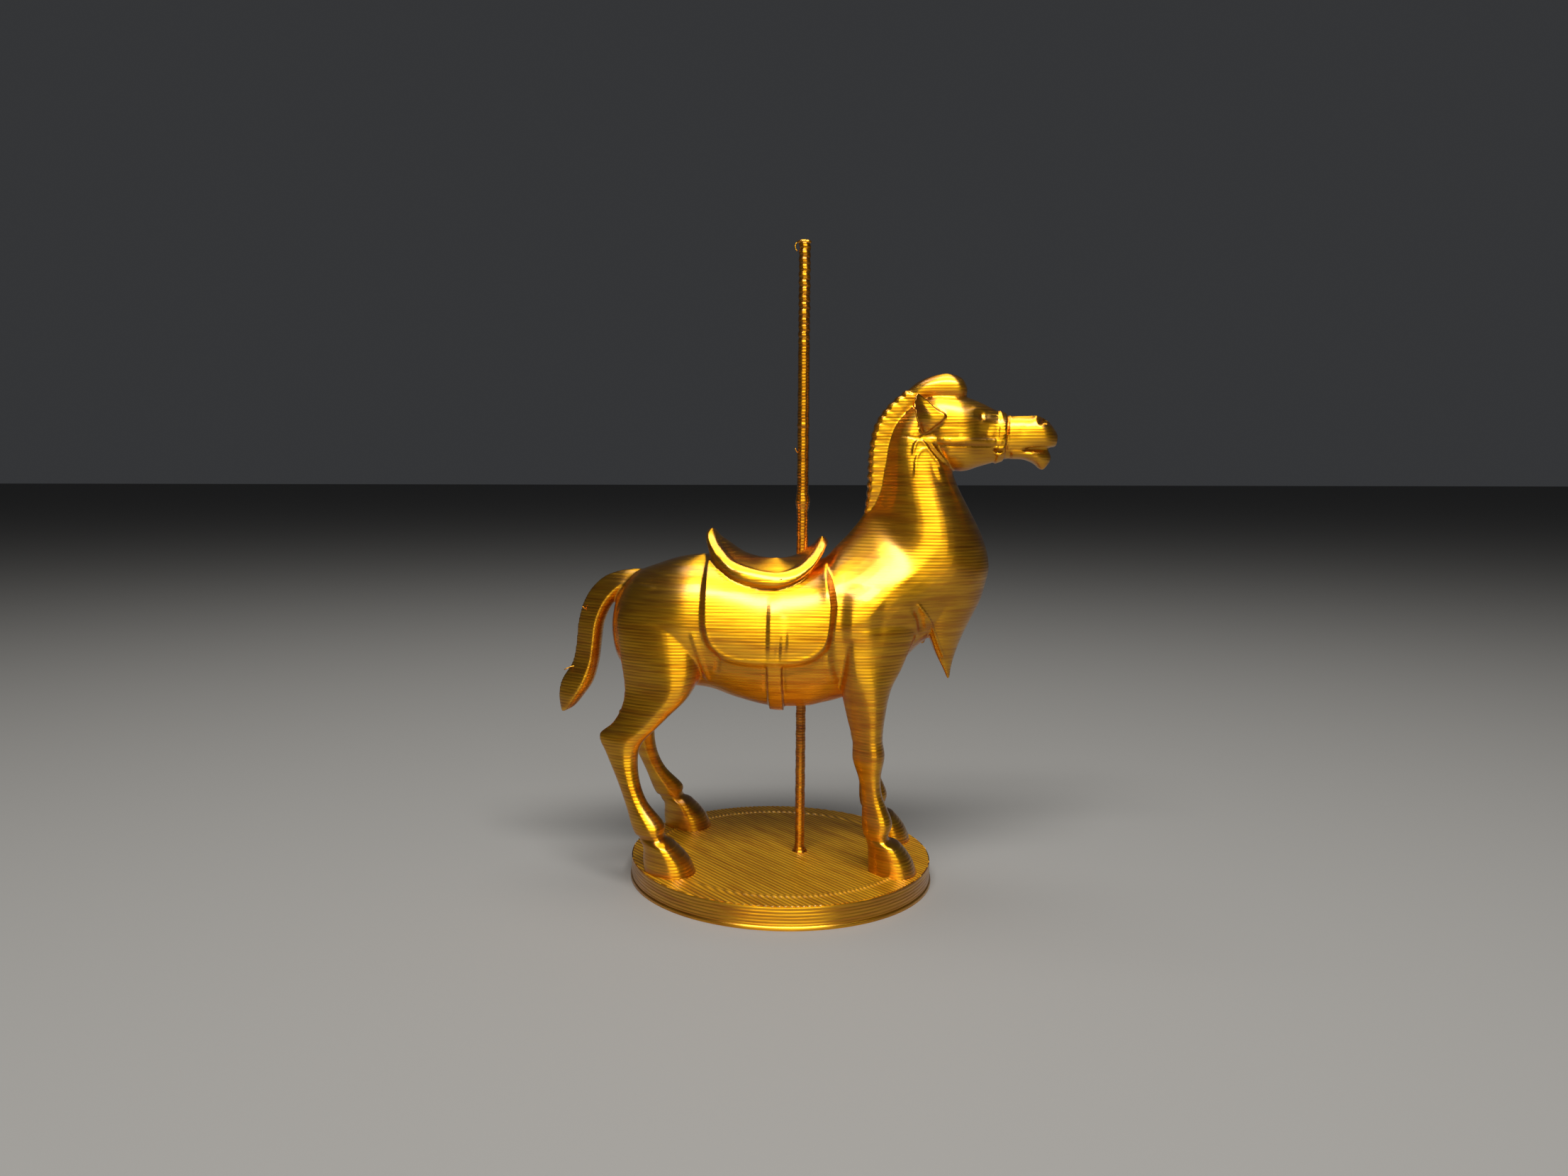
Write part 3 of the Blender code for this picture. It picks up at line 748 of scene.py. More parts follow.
@dataclass
class Head(Carving):
    """Skull, muzzle and lower lip, with the eyes, nostrils and mouth."""

    skull: Loft = Loft((
        (12.0, 44.3, 12.6, 40.0, 0, 1.6),
        (13.6, 44.8, 14.0, 38.7, 0, 2.45),
        (15.2, 44.7, 15.4, 37.95, 0, 2.75),
        (16.4, 44.45, 16.5, 37.9, 0, 2.6),
        (17.6, 44.0, 17.6, 38.25, 0, 2.2),
        (18.8, 43.4, 18.8, 38.6, 0, 1.85),
        (20.0, 42.85, 20.0, 38.95, 0, 1.72),
        (21.4, 42.75, 21.2, 39.1, 0, 1.72),
        (22.7, 42.75, 22.4, 39.45, 0, 1.8),
        (23.7, 42.15, 23.5, 39.6, 0, 1.6),
        (24.4, 41.2, 24.3, 40.05, 0, 0.9),
    ), squareness=2.3)
    lower_lip: Loft = Loft((
        (20.2, 40.3, 20.4, 38.95, 0, 1.5),
        (21.7, 40.0, 21.5, 38.9, 0, 1.45),
        (22.8, 39.9, 22.4, 38.55, 0, 1.3),
        (23.6, 39.75, 22.85, 38.15, 0, 1.0),
        (23.95, 39.2, 23.25, 37.98, 0, 0.6),
        (23.9, 38.75, 23.5, 38.2, 0, 0.25),
    ))
    # The eye sockets and lids, nostrils, mouth and jaw.
    strokes: tuple[Stroke, ...] = (
        Stroke(((17.3, 42.8), (17.9, 42.75)), 0.55, -0.26, side_from=1.0),
        Stroke(((16.6, 43.3), (17.3, 43.35), (18.0, 43.05)), 0.36, 0.09, side_from=0.8),
        Stroke(((17.45, 42.72), (17.75, 42.7)), 0.26, 0.07, side_from=1.0),
        Stroke(((17.2, 42.35), (17.7, 42.25), (18.1, 42.4)), 0.16, 0.06, side_from=1.0),
        Stroke(((22.75, 42.15), (23.15, 42.3), (23.55, 42.1)), 0.36, -0.45, side_from=0.3, all_round=True),
        Stroke(((22.2, 42.3), (22.45, 42.65), (23.1, 42.75)), 0.24, 0.12, side_from=0.2),
        Stroke(((21.4, 39.75), (22.4, 39.8), (23.3, 39.8), (24.2, 39.85)), 0.26, -0.26, side_from=0.0,
               all_round=True),
        Stroke(((21.05, 42.2), (21.2, 41.4), (21.1, 40.8)), 0.4, -0.06, side_from=0.8, taper=1.0),
        Stroke(((14.6, 40.0), (15.0, 38.8)), 0.9, 0.14, side_from=1.0),
        Stroke(((13.8, 41.8), (15.0, 41.76), (16.3, 41.7)), 0.13, -0.08, Profile.CREASE, side_from=1.0),
        Stroke(((16.9, 41.7), (18.6, 41.3)), 0.9, -0.12, side_from=1.0),
    )

    def add_to(self, clay: Clay) -> None:
        """Add the head to the clay."""
        clay.loft(self.skull)
        clay.loft(self.lower_lip)


@dataclass
class Hair(Carving):
    """Forelock, the long fringe down the neck's front, its under tuft, and the tail."""

    forelock: Loft = Loft((
        (10.4, 44.3, 11.6, 43.2, 0, 0.8),
        (12.0, 45.75, 12.6, 44.0, 0, 1.25),
        (13.6, 46.4, 13.8, 44.0, 0, 1.55),
        (15.0, 46.5, 15.0, 44.0, 0, 1.65),
        (16.0, 46.1, 15.9, 44.1, 0, 1.45),
        (16.45, 45.3, 16.4, 44.5, 0, 0.8),
    ), squareness=2.2)
    tail: Loft = Loft((
        (-12.6, 28.8, -13.2, 26.6, 0, 1.2, 1.6, 0.0),
        (-14.9, 28.65, -14.7, 26.4, 0, 1.3, 1.4, 0.2),
        (-16.9, 27.85, -15.6, 25.7, 0, 1.3, 1.3, 0.4),
        (-18.4, 26.1, -16.2, 24.8, 0, 1.3, 1.25, 0.45),
        (-19.15, 23.8, -16.7, 23.5, 0, 1.3, 1.25, 0.45),
        (-19.4, 21.6, -16.95, 21.8, 0, 1.3, 1.25, 0.45),
        (-19.8, 19.8, -17.2, 20.0, 0, 1.3, 1.25, 0.45),
        (-20.8, 18.2, -17.75, 18.1, 0, 1.4, 1.25, 0.45),
        (-21.15, 16.8, -18.6, 16.8, 0, 1.2, 1.3, 0.4),
        (-21.05, 15.7, -19.6, 15.6, 0, 0.7, 1.5, 0.2),
        (-20.9, 15.0, -20.55, 15.05, 0, 0.15, 2.0, 0.0),
    ), squareness=1.25)
    fringe: Loft = Loft((
        (12.7, 39.9, 13.3, 39.9, 0, 2.3, 2.0),
        (12.15, 38.8, 14.9, 38.3, 0, 2.6, 2.0),
        (12.1, 37.0, 15.55, 36.9, 0, 2.8, 2.0),
        (12.05, 35.0, 16.5, 35.1, 0, 2.9, 2.0),
        (12.0, 33.0, 17.65, 33.0, 0, 3.1, 2.0),
        (12.0, 31.0, 18.45, 31.0, 0, 3.4, 2.0),
        (12.0, 29.0, 18.75, 29.2, 0, 3.7, 2.2),
        (12.0, 27.4, 18.5, 27.8, 0, 3.9, 2.6, -0.25),
        (12.3, 25.9, 18.1, 26.3, 0, 3.7, 4.0, -0.45),
        (12.9, 24.4, 17.4, 24.8, 0, 3.2, 4.5, -0.5),
        (13.5, 22.9, 16.65, 23.2, 0, 2.4, 4.5, -0.5),
        (14.1, 21.4, 16.05, 21.6, 0, 1.5, 4.5, -0.5),
        (14.8, 20.0, 15.65, 20.1, 0, 0.7, 4.0, -0.5),
        (15.3, 18.9, 15.5, 18.9, 0, 0.15, 3.0),
    ))
    under_tuft: Loft = Loft((
        (10.6, 26.0, 13.6, 26.0, 0, 2.9, 3.0, -0.3),
        (11.6, 24.3, 13.7, 24.3, 0, 2.0, 3.0, -0.4),
        (12.4, 22.9, 13.4, 22.9, 0, 1.0, 3.0, -0.4),
        (12.9, 22.1, 13.1, 22.1, 0, 0.2, 2.0, 0.0),
    ))
    # The fringe's raised border and its crest at the breast.
    strokes: tuple[Stroke, ...] = (
        Stroke(((11.85, 37.5), (11.95, 39.0), (12.4, 39.75), (13.0, 39.7), (13.5, 39.0), (14.2, 38.2)),
               0.2, 0.08, side_from=1.2),
        Stroke(((12.15, 26.3), (13.0, 25.2), (13.5, 24.3), (14.2, 22.5), (14.9, 20.9)), 0.22, 0.16,
               Profile.CREASE, side_from=0.5),
        Stroke(((11.9, 25.9), (12.4, 25.0), (12.7, 23.6)), 0.5, -0.3, side_from=0.8),
    )

    def add_to(self, clay: Clay) -> None:
        """Add the hair to the clay."""
        for form in (self.forelock, self.tail, self.fringe, self.under_tuft):
            clay.loft(form)


@dataclass
class Mane(Carving):
    """Mane down the back of the neck, its rear edge in rounded lobes parted by creases."""

    rows: tuple[tuple[float, ...], ...] = (
        (7.45, 34.0, 9.0, 34.9, 0, 0.5),
        (7.65, 36.0, 9.7, 36.4, 0, 0.95),
        (7.7, 38.0, 9.9, 38.3, 0, 1.05),
        (7.8, 40.0, 10.0, 40.1, 0, 1.1),
        (8.3, 42.1, 10.4, 41.6, 0, 1.1),
        (9.4, 43.75, 11.2, 42.9, 0, 1.1),
        (11.0, 45.15, 12.3, 43.9, 0, 1.15),
    )
    lobes: int = 16
    lobe_depth: float = 0.18
    crease_reach: float = 0.6
    crease_drop: float = 0.2
    steps: int = 14

    def lobed_rows(self) -> tuple[tuple[float, ...], ...]:
        """Pull the rear edge in between two lobes.

        Returns:
            Closely spaced stations with the lobes in them.
        """
        rows = smooth_rows(self.rows, self.steps)
        result = []
        for i, (x1, z1, x2, z2, y, half) in enumerate(rows):
            wave = abs(math.sin(math.pi * self.lobes * i / (len(rows) - 1)))
            pull = self.lobe_depth * (1 - wave) / max(0.1, math.dist((x1, z1), (x2, z2)))
            result.append((x1 + (x2 - x1) * pull, z1 + (z2 - z1) * pull, x2, z2, y, half))
        return tuple(result)

    def add_to(self, clay: Clay) -> None:
        """Add the mane to the clay."""
        clay.loft(Loft(self.lobed_rows(), squareness=3.4, steps=1))

    def marks(self) -> Iterable[Stroke]:
        """Give the groove along the mane's border and a crease between each two lobes.

        Returns:
            The strokes.
        """
        yield Stroke(((9.3, 34.6), (9.75, 36.0), (9.8, 38.0), (9.85, 40.0), (10.2, 41.5), (10.9, 42.8),
                      (11.9, 43.8)), 0.6, -0.08, side_from=0.3)
        rows = smooth_rows(self.rows, self.steps)
        for lobe in range(1, self.lobes):
            x1, z1, x2, z2 = rows[round(lobe * (len(rows) - 1) / self.lobes)][:4]
            reach = self.crease_reach
            inner = (x1 + (x2 - x1) * reach, z1 + (z2 - z1) * reach - self.crease_drop)
            middle = ((x1 + inner[0]) / 2, (z1 + inner[1]) / 2 - self.crease_drop / 4)
            yield Stroke(((x1, z1), middle, inner), 0.22, -0.05, side_from=0.0, taper=0.9)


@dataclass
class Ears(Carving):
    """Pointed ears like hollowed leaves, which open outward and a little forward.

    Each station up an ear is (z, rear edge x, front edge x, rear edge side, front edge side, hollow).
    """

    stations: tuple[Row, ...] = (
        (41.2, 12.4, 12.8, 2.8, 2.6, 0.05),
        (41.6, 12.15, 13.2, 3.25, 2.75, 0.2),
        (42.0, 11.95, 13.75, 3.65, 2.85, 0.35),
        (42.4, 11.8, 14.2, 3.95, 2.9, 0.45),
        (42.8, 11.7, 14.35, 4.0, 2.9, 0.5),
        (43.2, 11.63, 13.75, 3.95, 2.85, 0.5),
        (43.6, 11.6, 13.25, 3.8, 2.8, 0.45),
        (44.0, 11.62, 12.85, 3.6, 2.8, 0.3),
        (44.4, 11.7, 12.35, 3.35, 2.95, 0.15),
        (44.65, 11.82, 11.98, 3.15, 3.1, 0.05),
    )
    thickness: float = 0.7
    hollow_bias: float = 0.8
    cuts: int = 14
    steps: int = 4
    # The dent behind the ear's root.
    strokes: tuple[Stroke, ...] = (
        Stroke(((12.9, 41.0), (12.7, 41.4), (12.4, 41.8)), 0.45, -0.2, side_from=1.2),
    )

    def add_to(self, clay: Clay) -> None:
        """Add both ears to the clay.

        Args:
            clay: clay to add to.
        """
        shares = [i / self.cuts for i in range(self.cuts + 1)]
        hollows = [math.sin(math.pi * t ** self.hollow_bias) for t in shares]
        for side in (-1, 1):
            rings = []
            for z, rear, front, rear_y, front_y, hollow in smooth_rows(self.stations, self.steps):
                floor = [rear_y + (front_y - rear_y) * t - hollow * h for t, h in zip(shares, hollows)]
                face = [(rear + (front - rear) * t, side * y, z) for t, y in zip(shares, floor)]
                back = [(x, y - side * self.thickness, z) for x, y, z in reversed(face)]
                rings.append(face + back)
            clay.skin(rings)


@dataclass
class Legs(Carving):
    """Two pairs of legs with knees, hocks, fetlocks and broad feet that sink into the base."""

    foreleg: Loft = Loft((
        (6.6, 28.2, 11.0, 28.6, 2.0, 2.2, 2.0, -0.3),
        (5.2, 24.6, 12.4, 24.9, 3.1, 2.8, 2.0, -0.35),
        (5.4, 20.6, 11.1, 20.9, 3.8, 2.5, 1.9, -0.3),
        (5.6, 18.3, 10.0, 18.6, 4.15, 2.15, 1.7, 0.1),
        (6.1, 16.0, 9.5, 16.2, 4.35, 1.75, 1.5, 0.3),
        (6.6, 14.0, 9.3, 14.1, 4.45, 1.4, 1.5, 0.3),
        (6.65, 12.3, 9.5, 12.6, 4.5, 1.4, 1.5, 0.3),
        (7.2, 10.5, 9.2, 10.7, 4.5, 1.0, 1.5, 0.3),
        (7.5, 8.6, 9.35, 8.9, 4.5, 0.95, 1.5, 0.3),
        (7.55, 6.3, 10.25, 6.6, 4.6, 1.35, 1.5, 0.3),
        (7.8, 5.1, 9.95, 5.3, 4.6, 1.25, 1.6, 0.3),
        (8.1, 4.4, 11.0, 4.6, 4.6, 1.75, 1.6, 0.3),
        (8.15, 3.0, 12.1, 3.2, 4.6, 2.05, 1.6, 0.25),
        (8.2, 1.2, 12.75, 1.2, 4.6, 2.3, 1.6, 0.2),
    ), squareness=1.8, paired=True)
    hind_leg: Loft = Loft((
        (-13.6, 27.6, -9.0, 27.4, 1.9, 2.4, 1.8, 0.3),
        (-14.9, 24.8, -7.4, 24.6, 2.9, 2.6, 1.7, 0.36),
        (-14.6, 21.7, -6.9, 20.6, 3.6, 2.65, 1.6, 0.38),
        (-14.05, 18.4, -7.9, 17.9, 4.15, 2.4, 1.45, 0.48),
        (-14.3, 16.5, -9.9, 15.8, 4.4, 1.9, 1.45, 0.48),
        (-15.1, 15.1, -11.2, 14.5, 4.6, 1.45, 1.45, 0.48),
        (-16.3, 13.95, -12.3, 13.35, 4.75, 1.2, 1.45, 0.4),
        (-15.6, 12.2, -12.7, 12.1, 4.95, 1.0, 1.5, 0.25),
        (-14.55, 9.9, -12.5, 10.0, 5.4, 0.9, 1.5, 0.1),
        (-13.7, 7.8, -11.7, 8.1, 5.9, 0.95, 1.5, 0.1),
        (-13.05, 5.9, -10.1, 6.3, 6.35, 1.3, 1.5, 0.15),
        (-12.5, 5.0, -10.1, 5.4, 6.5, 1.25, 1.6, 0.3),
        (-12.0, 4.3, -9.1, 4.6, 6.7, 1.75, 1.6, 0.3),
        (-12.0, 3.0, -7.75, 3.2, 6.7, 2.05, 1.6, 0.25),
        (-11.8, 1.2, -6.9, 1.2, 6.7, 2.3, 1.6, 0.2),
    ), squareness=1.8, paired=True)
    # The creases above the feet.
    strokes: tuple[Stroke, ...] = (
        Stroke(((-12.9, 4.95), (-11.4, 5.15), (-9.7, 4.95)), 0.4, -0.14, side_from=3.0, all_round=True),
        Stroke(((7.5, 5.0), (9.0, 5.1), (10.6, 4.95)), 0.4, -0.14, side_from=3.0, all_round=True),
    )

    def add_to(self, clay: Clay) -> None:
        """Add the legs to the clay."""
        clay.loft(self.foreleg)
        clay.loft(self.hind_leg)


@dataclass
class Blanket(Carving):
    """Saddle blanket with rounded lower corners, down both flanks, with a thin bead along its hem.

    It thins from fade_z up to the saddle, and its front edge leans back above the corners.
    """

    trunk: Trunk
    middle_x: float = -0.95
    length: float = 11.1
    hem_z: float = 21.1
    corner_z: float = 26.0
    squareness: float = 3.2
    thickness: float = 0.5
    root: float = 1.0
    slope: float = 0.4
    fade_z: float = 27.0
    fade_height: float = 4.0
    top_share: float = 0.3
    sunk_share: float = -2.0
    front_lean: float = 0.22
    bead_top: float = 25.6
    bead_cuts: int = 24
    cuts_along: int = 64
    cuts_round: int = 90

    def edge_height(self, share: float, grow: float = 0.0) -> float:
        """Give the lower edge's height at a share of the half length from the middle."""
        drop = self.corner_z - self.hem_z + grow
        return self.corner_z - drop * (1 - abs(share) ** self.squareness) ** (1 / self.squareness)

    def sheet_lift(self, x: float, z: float) -> float:
        """Give how far the sheet stands off the barrel at a place in side view.

        Args:
            x: place along the camel.
            z: height.

        Returns:
            The full thickness inside the sloping edge, less on the slope and near the saddle, and below 0,
            under the skin, outside the edge.
        """
        leaned = x + self.front_lean * max(0.0, z - self.corner_z) * (x > self.middle_x)
        across = abs(leaned - self.middle_x) / (self.length / 2 + self.slope)
        down = max(0.0, self.corner_z - z) / (self.corner_z - self.hem_z + self.slope)
        inside = 1 - (across ** self.squareness + down ** self.squareness) ** (1 / self.squareness)
        fade = max(self.top_share, min(1.0, 1 - (z - self.fade_z) / self.fade_height))
        rise = inside * (self.length / 2 + self.slope) / self.slope
        return self.thickness * (fade * min(1.0, rise) if rise > 0 else max(self.sunk_share, rise))

    def wrap(self, clay: Clay, columns: Iterable[tuple[float, float]], lift: float | None = None) -> None:
        """Lay a sheet round the barrel.

        Args:
            clay: clay to add to.
            columns: places along the barrel, each (x, half angle), round the belly where it is below 0.
            lift: the sheet's outer side off the barrel, or None for that of the blanket.
        """
        turns = [math.cos(math.pi * i / self.cuts_round) for i in range(self.cuts_round + 1)]
        rings = []
        for x, reach in columns:
            middle = math.pi if reach < 0 else 0.0
            angles = [middle - abs(reach) * turn for turn in turns]
            outside = []
            for angle in angles:
                rise = self.sheet_lift(x, self.trunk.surface_point(x, angle, 0.0).z) if lift is None else lift
                outside.append(self.trunk.surface_point(x, angle, rise))
            inside = [self.trunk.surface_point(x, angle, -self.root) for angle in reversed(angles)]
            rings.append(outside + inside)
        clay.skin(rings)

    def add_to(self, clay: Clay) -> None:
        """Add the blanket to the clay.

        Args:
            clay: clay to add to.
        """
        columns = []
        for i in range(self.cuts_along + 1):
            share = -math.cos(math.pi * i / self.cuts_along)
            x = self.middle_x + (self.length / 2 + self.slope) * share
            columns.append((x, self.trunk.angle_at(x, self.edge_height(share, self.slope))))
        self.wrap(clay, columns)

    def marks(self) -> Iterable[Stroke]:
        """Give the bead along the hem and its corners.

        Returns:
            The strokes.
        """
        shares = [-math.cos(math.pi * i / self.bead_cuts) for i in range(self.bead_cuts + 1)]
        edge = [(self.middle_x + self.length / 2 * s, self.edge_height(s)) for s in shares]
        outline = [point for point in edge if point[1] < self.bead_top]
        yield Stroke(beside(outline, 0.15), 0.26, 0.08, side_from=3.0, taper=1.5)


@dataclass
class Girth(Carving):
    """Girth under the belly, and the leather that runs up over the blanket to the saddle."""

    blanket: Blanket
    x: float = -0.3
    width: float = 1.3
    thickness: float = 0.4
    tuck: float = 0.3
    # The leather that fades in down the blanket, and its edges.
    strokes: tuple[Stroke, ...] = (
        Stroke(((-0.4, 27.4), (-0.38, 24.5), (-0.35, 21.0)), 1.0, 0.14, side_from=3.0, taper=2.6),
        Stroke(((-1.05, 26.6), (-1.08, 24.0), (-1.1, 21.0)), 0.4, -0.09, side_from=3.0, taper=2.6),
        Stroke(((0.5, 24.9), (0.55, 23.4), (0.4, 21.2)), 0.5, 0.16, side_from=3.0, taper=2.0),
        Stroke(((0.1, 23.2), (0.0, 22.1), (0.05, 21.0)), 0.42, -0.1, side_from=3.0, taper=1.4),
        Stroke(((-1.15, 20.9), (-1.15, 18.2)), 0.26, -0.1, side_from=1.0),
        Stroke(((0.45, 20.9), (0.5, 18.2)), 0.26, -0.1, side_from=1.0),
    )

    def add_to(self, clay: Clay) -> None:
        """Add the girth to the clay.

        Args:
            clay: clay to add to.
        """
        hem = self.blanket.trunk.angle_at(self.x, self.blanket.hem_z + self.tuck)
        places = (self.x - self.width / 2, self.x, self.x + self.width / 2)
        self.blanket.wrap(clay, [(x, hem - math.pi) for x in places], self.thickness)


@dataclass
class Saddle(Carving):
    """Saddle with a dished seat and a rolled rim, hollow between the cantle and the pommel.

    Heights are given along the middle plane and along the rim, each (share of the half length, z). The wall
    is the skin from the foot over the rim to the seat's middle, each (share of the half size, rise). Below
    the rim it reaches farther down at the rear than at the front.
    """

    length: float = 11.0
    width: float = 10.3
    middle_x: float = -1.35
    under_z: float = 26.3
    squareness: float = 2.25
    foot_share: float = 0.84
    dish: float = 1.6
    seat_line: tuple[Row, ...] = ((-1.0, 32.3), (-0.78, 31.9), (-0.35, 30.4), (0.1, 29.9), (0.45, 30.15),
                                  (0.8, 31.3), (1.0, 31.6))
    rim_line: tuple[Row, ...] = ((-1.0, 32.3), (-0.9, 31.15), (-0.77, 30.2), (-0.5, 29.1), (0.15, 28.3),
                                 (0.5, 28.6), (0.75, 29.45), (0.92, 30.6), (1.0, 31.5))
    wall: tuple[Row, ...] = (
        (0.86, -2.0), (0.92, -1.35), (0.98, -0.9), (1.02, -0.6), (1.03, -0.3), (1.01, 0.05), (0.97, 0.3),
        (0.92, 0.42), (0.87, 0.4), (0.83, 0.25), (0.79, 0.08),
        *((share, 0.0) for share in (0.74, 0.66, 0.57, 0.48, 0.39, 0.3, 0.2, 0.1, 0.02)))
    drop_middle: float = 0.8
    drop_lean: float = 0.45
    sides: int = 96

    def height(self, x_share: float, y_share: float) -> float:
        """Give the height of the saddle's top.

        Args:
            x_share: place along the saddle, as a share of its half length.
            y_share: place across it, as a share of its half width.

        Returns:
            The height.
        """
        seat, rim = read_line(self.seat_line, x_share), read_line(self.rim_line, x_share)
        across = math.sqrt(max(1e-6, 1 - x_share ** 2))
        return seat - (seat - rim) * min(1.0, abs(y_share) / across) ** self.dish

    def add_to(self, clay: Clay) -> None:
        """Add the saddle to the clay.

        Args:
            clay: clay to add to.
        """
        turns = [rounded(2 * math.pi * i / self.sides, self.squareness) for i in range(self.sides)]

        def place(share: float, c: float, s: float, z: float) -> Point:
            """Give a point of the wall at a share of the half size, towards (c, s)."""
            return self.middle_x + share * c * self.length / 2, share * s * self.width / 2, z

        rings = [[place(self.foot_share, c, s, self.under_z) for c, s in turns]]
        for share, rise in self.wall:
            limit = min(1.0, share)
            ring = []
            for c, s in turns:
                lift = rise * (self.drop_middle - self.drop_lean * c) if rise < 0 else rise
                ring.append(place(share, c, s, self.height(limit * c, limit * s) + lift))
            rings.append(ring)
        clay.skin(rings)


@dataclass
class Bridle(Carving):
    """Noseband with its ring, cheek strap, throat lash and crown strap, in low relief on the head."""

    # The straps as raised bands, with the grooves beside them.
    strokes: tuple[Stroke, ...] = (
        Stroke(((19.65, 43.6), (19.55, 42.0), (19.45, 40.8), (19.4, 39.6), (19.3, 38.4)), 0.46,
               0.15, Profile.BAND, side_from=0.0, taper=0.01, all_round=True),
        Stroke(((20.02, 43.2), (19.97, 42.0), (19.9, 40.8), (19.85, 39.4)), 0.17, -0.16, side_from=0.0,
               all_round=True),
        Stroke(((13.0, 40.6), (14.2, 40.52), (16.5, 40.46), (19.2, 40.42)), 0.3, 0.12,
               Profile.BAND, side_from=1.0),
        Stroke(((13.6, 40.2), (16.0, 40.1), (18.9, 40.08)), 0.16, -0.08, Profile.CREASE, side_from=1.0),
        Stroke(((11.66, 39.3), (11.74, 40.0), (11.95, 40.42), (12.24, 40.54), (12.6, 40.3),
                (13.2, 39.55), (14.1, 38.35)), 0.2, 0.12, side_from=1.0),
        Stroke(((13.1, 40.4), (13.6, 39.75), (14.35, 38.95), (14.95, 38.3)), 0.2, 0.12, side_from=1.0),
        Stroke(((12.85, 40.2), (13.5, 39.45), (14.5, 38.4)), 0.3, -0.12, side_from=1.0),
        Stroke(((10.2, 41.1), (11.2, 40.95), (12.3, 40.62)), 0.16, -0.1, Profile.CREASE, side_from=0.8),
        Stroke(((18.8, 39.98), (19.25, 39.92), (19.65, 40.02)), 0.2, 0.12, side_from=0.6, taper=0.2),
        Stroke(((18.75, 39.8), (19.1, 39.66), (19.5, 39.78)), 0.17, -0.26, side_from=0.6, taper=0.2),
        Stroke(((18.7, 39.6), (19.05, 39.38), (19.5, 39.5)), 0.18, 0.12, side_from=0.6, taper=0.2),
    )


@dataclass
class Figure:
    """The camel with its tack, fused and carved into one printed skin."""

    trunk: Trunk = field(default_factory=Trunk)
    voxel: float = 0.115
    relax_rounds: int = 3
    triangles: int = 190000
    sharp_degrees: float = 75.0

    def parts(self) -> tuple[Carving, ...]:
        """List the parts in the order they are carved."""
        blanket = Blanket(self.trunk)
        return (self.trunk, Head(), Hair(), Mane(), Ears(), Legs(), blanket, Girth(blanket), Saddle(),
                Bridle())

    def build(self, finish: bpy.types.Material) -> None:
        """Model the figure.

        Args:
            finish: its material.
        """
        clay = Clay()
        for part in self.parts():
            part.add_to(clay)
        item = clay.fuse("camel_figure", self.voxel, self.relax_rounds)
        self.carve(item)
        thin = item.modifiers.new("Thin", "DECIMATE")
        thin.ratio = min(1.0, self.triangles / triangle_count(item))
        apply_modifiers(item)
        finish_piece(item, finish, self.sharp_degrees)

    def carve(self, item: bpy.types.Object) -> None:
        """Move the skin's points by every part's strokes.

        Args:
            item: the fused skin.
        """
        count = len(item.data.vertices)
        for part in self.parts():
            marks = list(part.marks())
            if not marks:
                continue
            places = np.empty(count * 3)
            item.data.vertices.foreach_get("co", places)
            places = places.reshape(-1, 3)
            normals = np.empty(count * 3, dtype=np.float32)
            item.data.vertex_normals.foreach_get("vector", normals)
            normals = normals.reshape(-1, 3).astype(float)
            moves = np.zeros_like(places)
            for mark in marks:
                mark.carve(places, normals, moves)
            item.data.vertices.foreach_set("co", (places + moves).ravel())
            item.data.update()


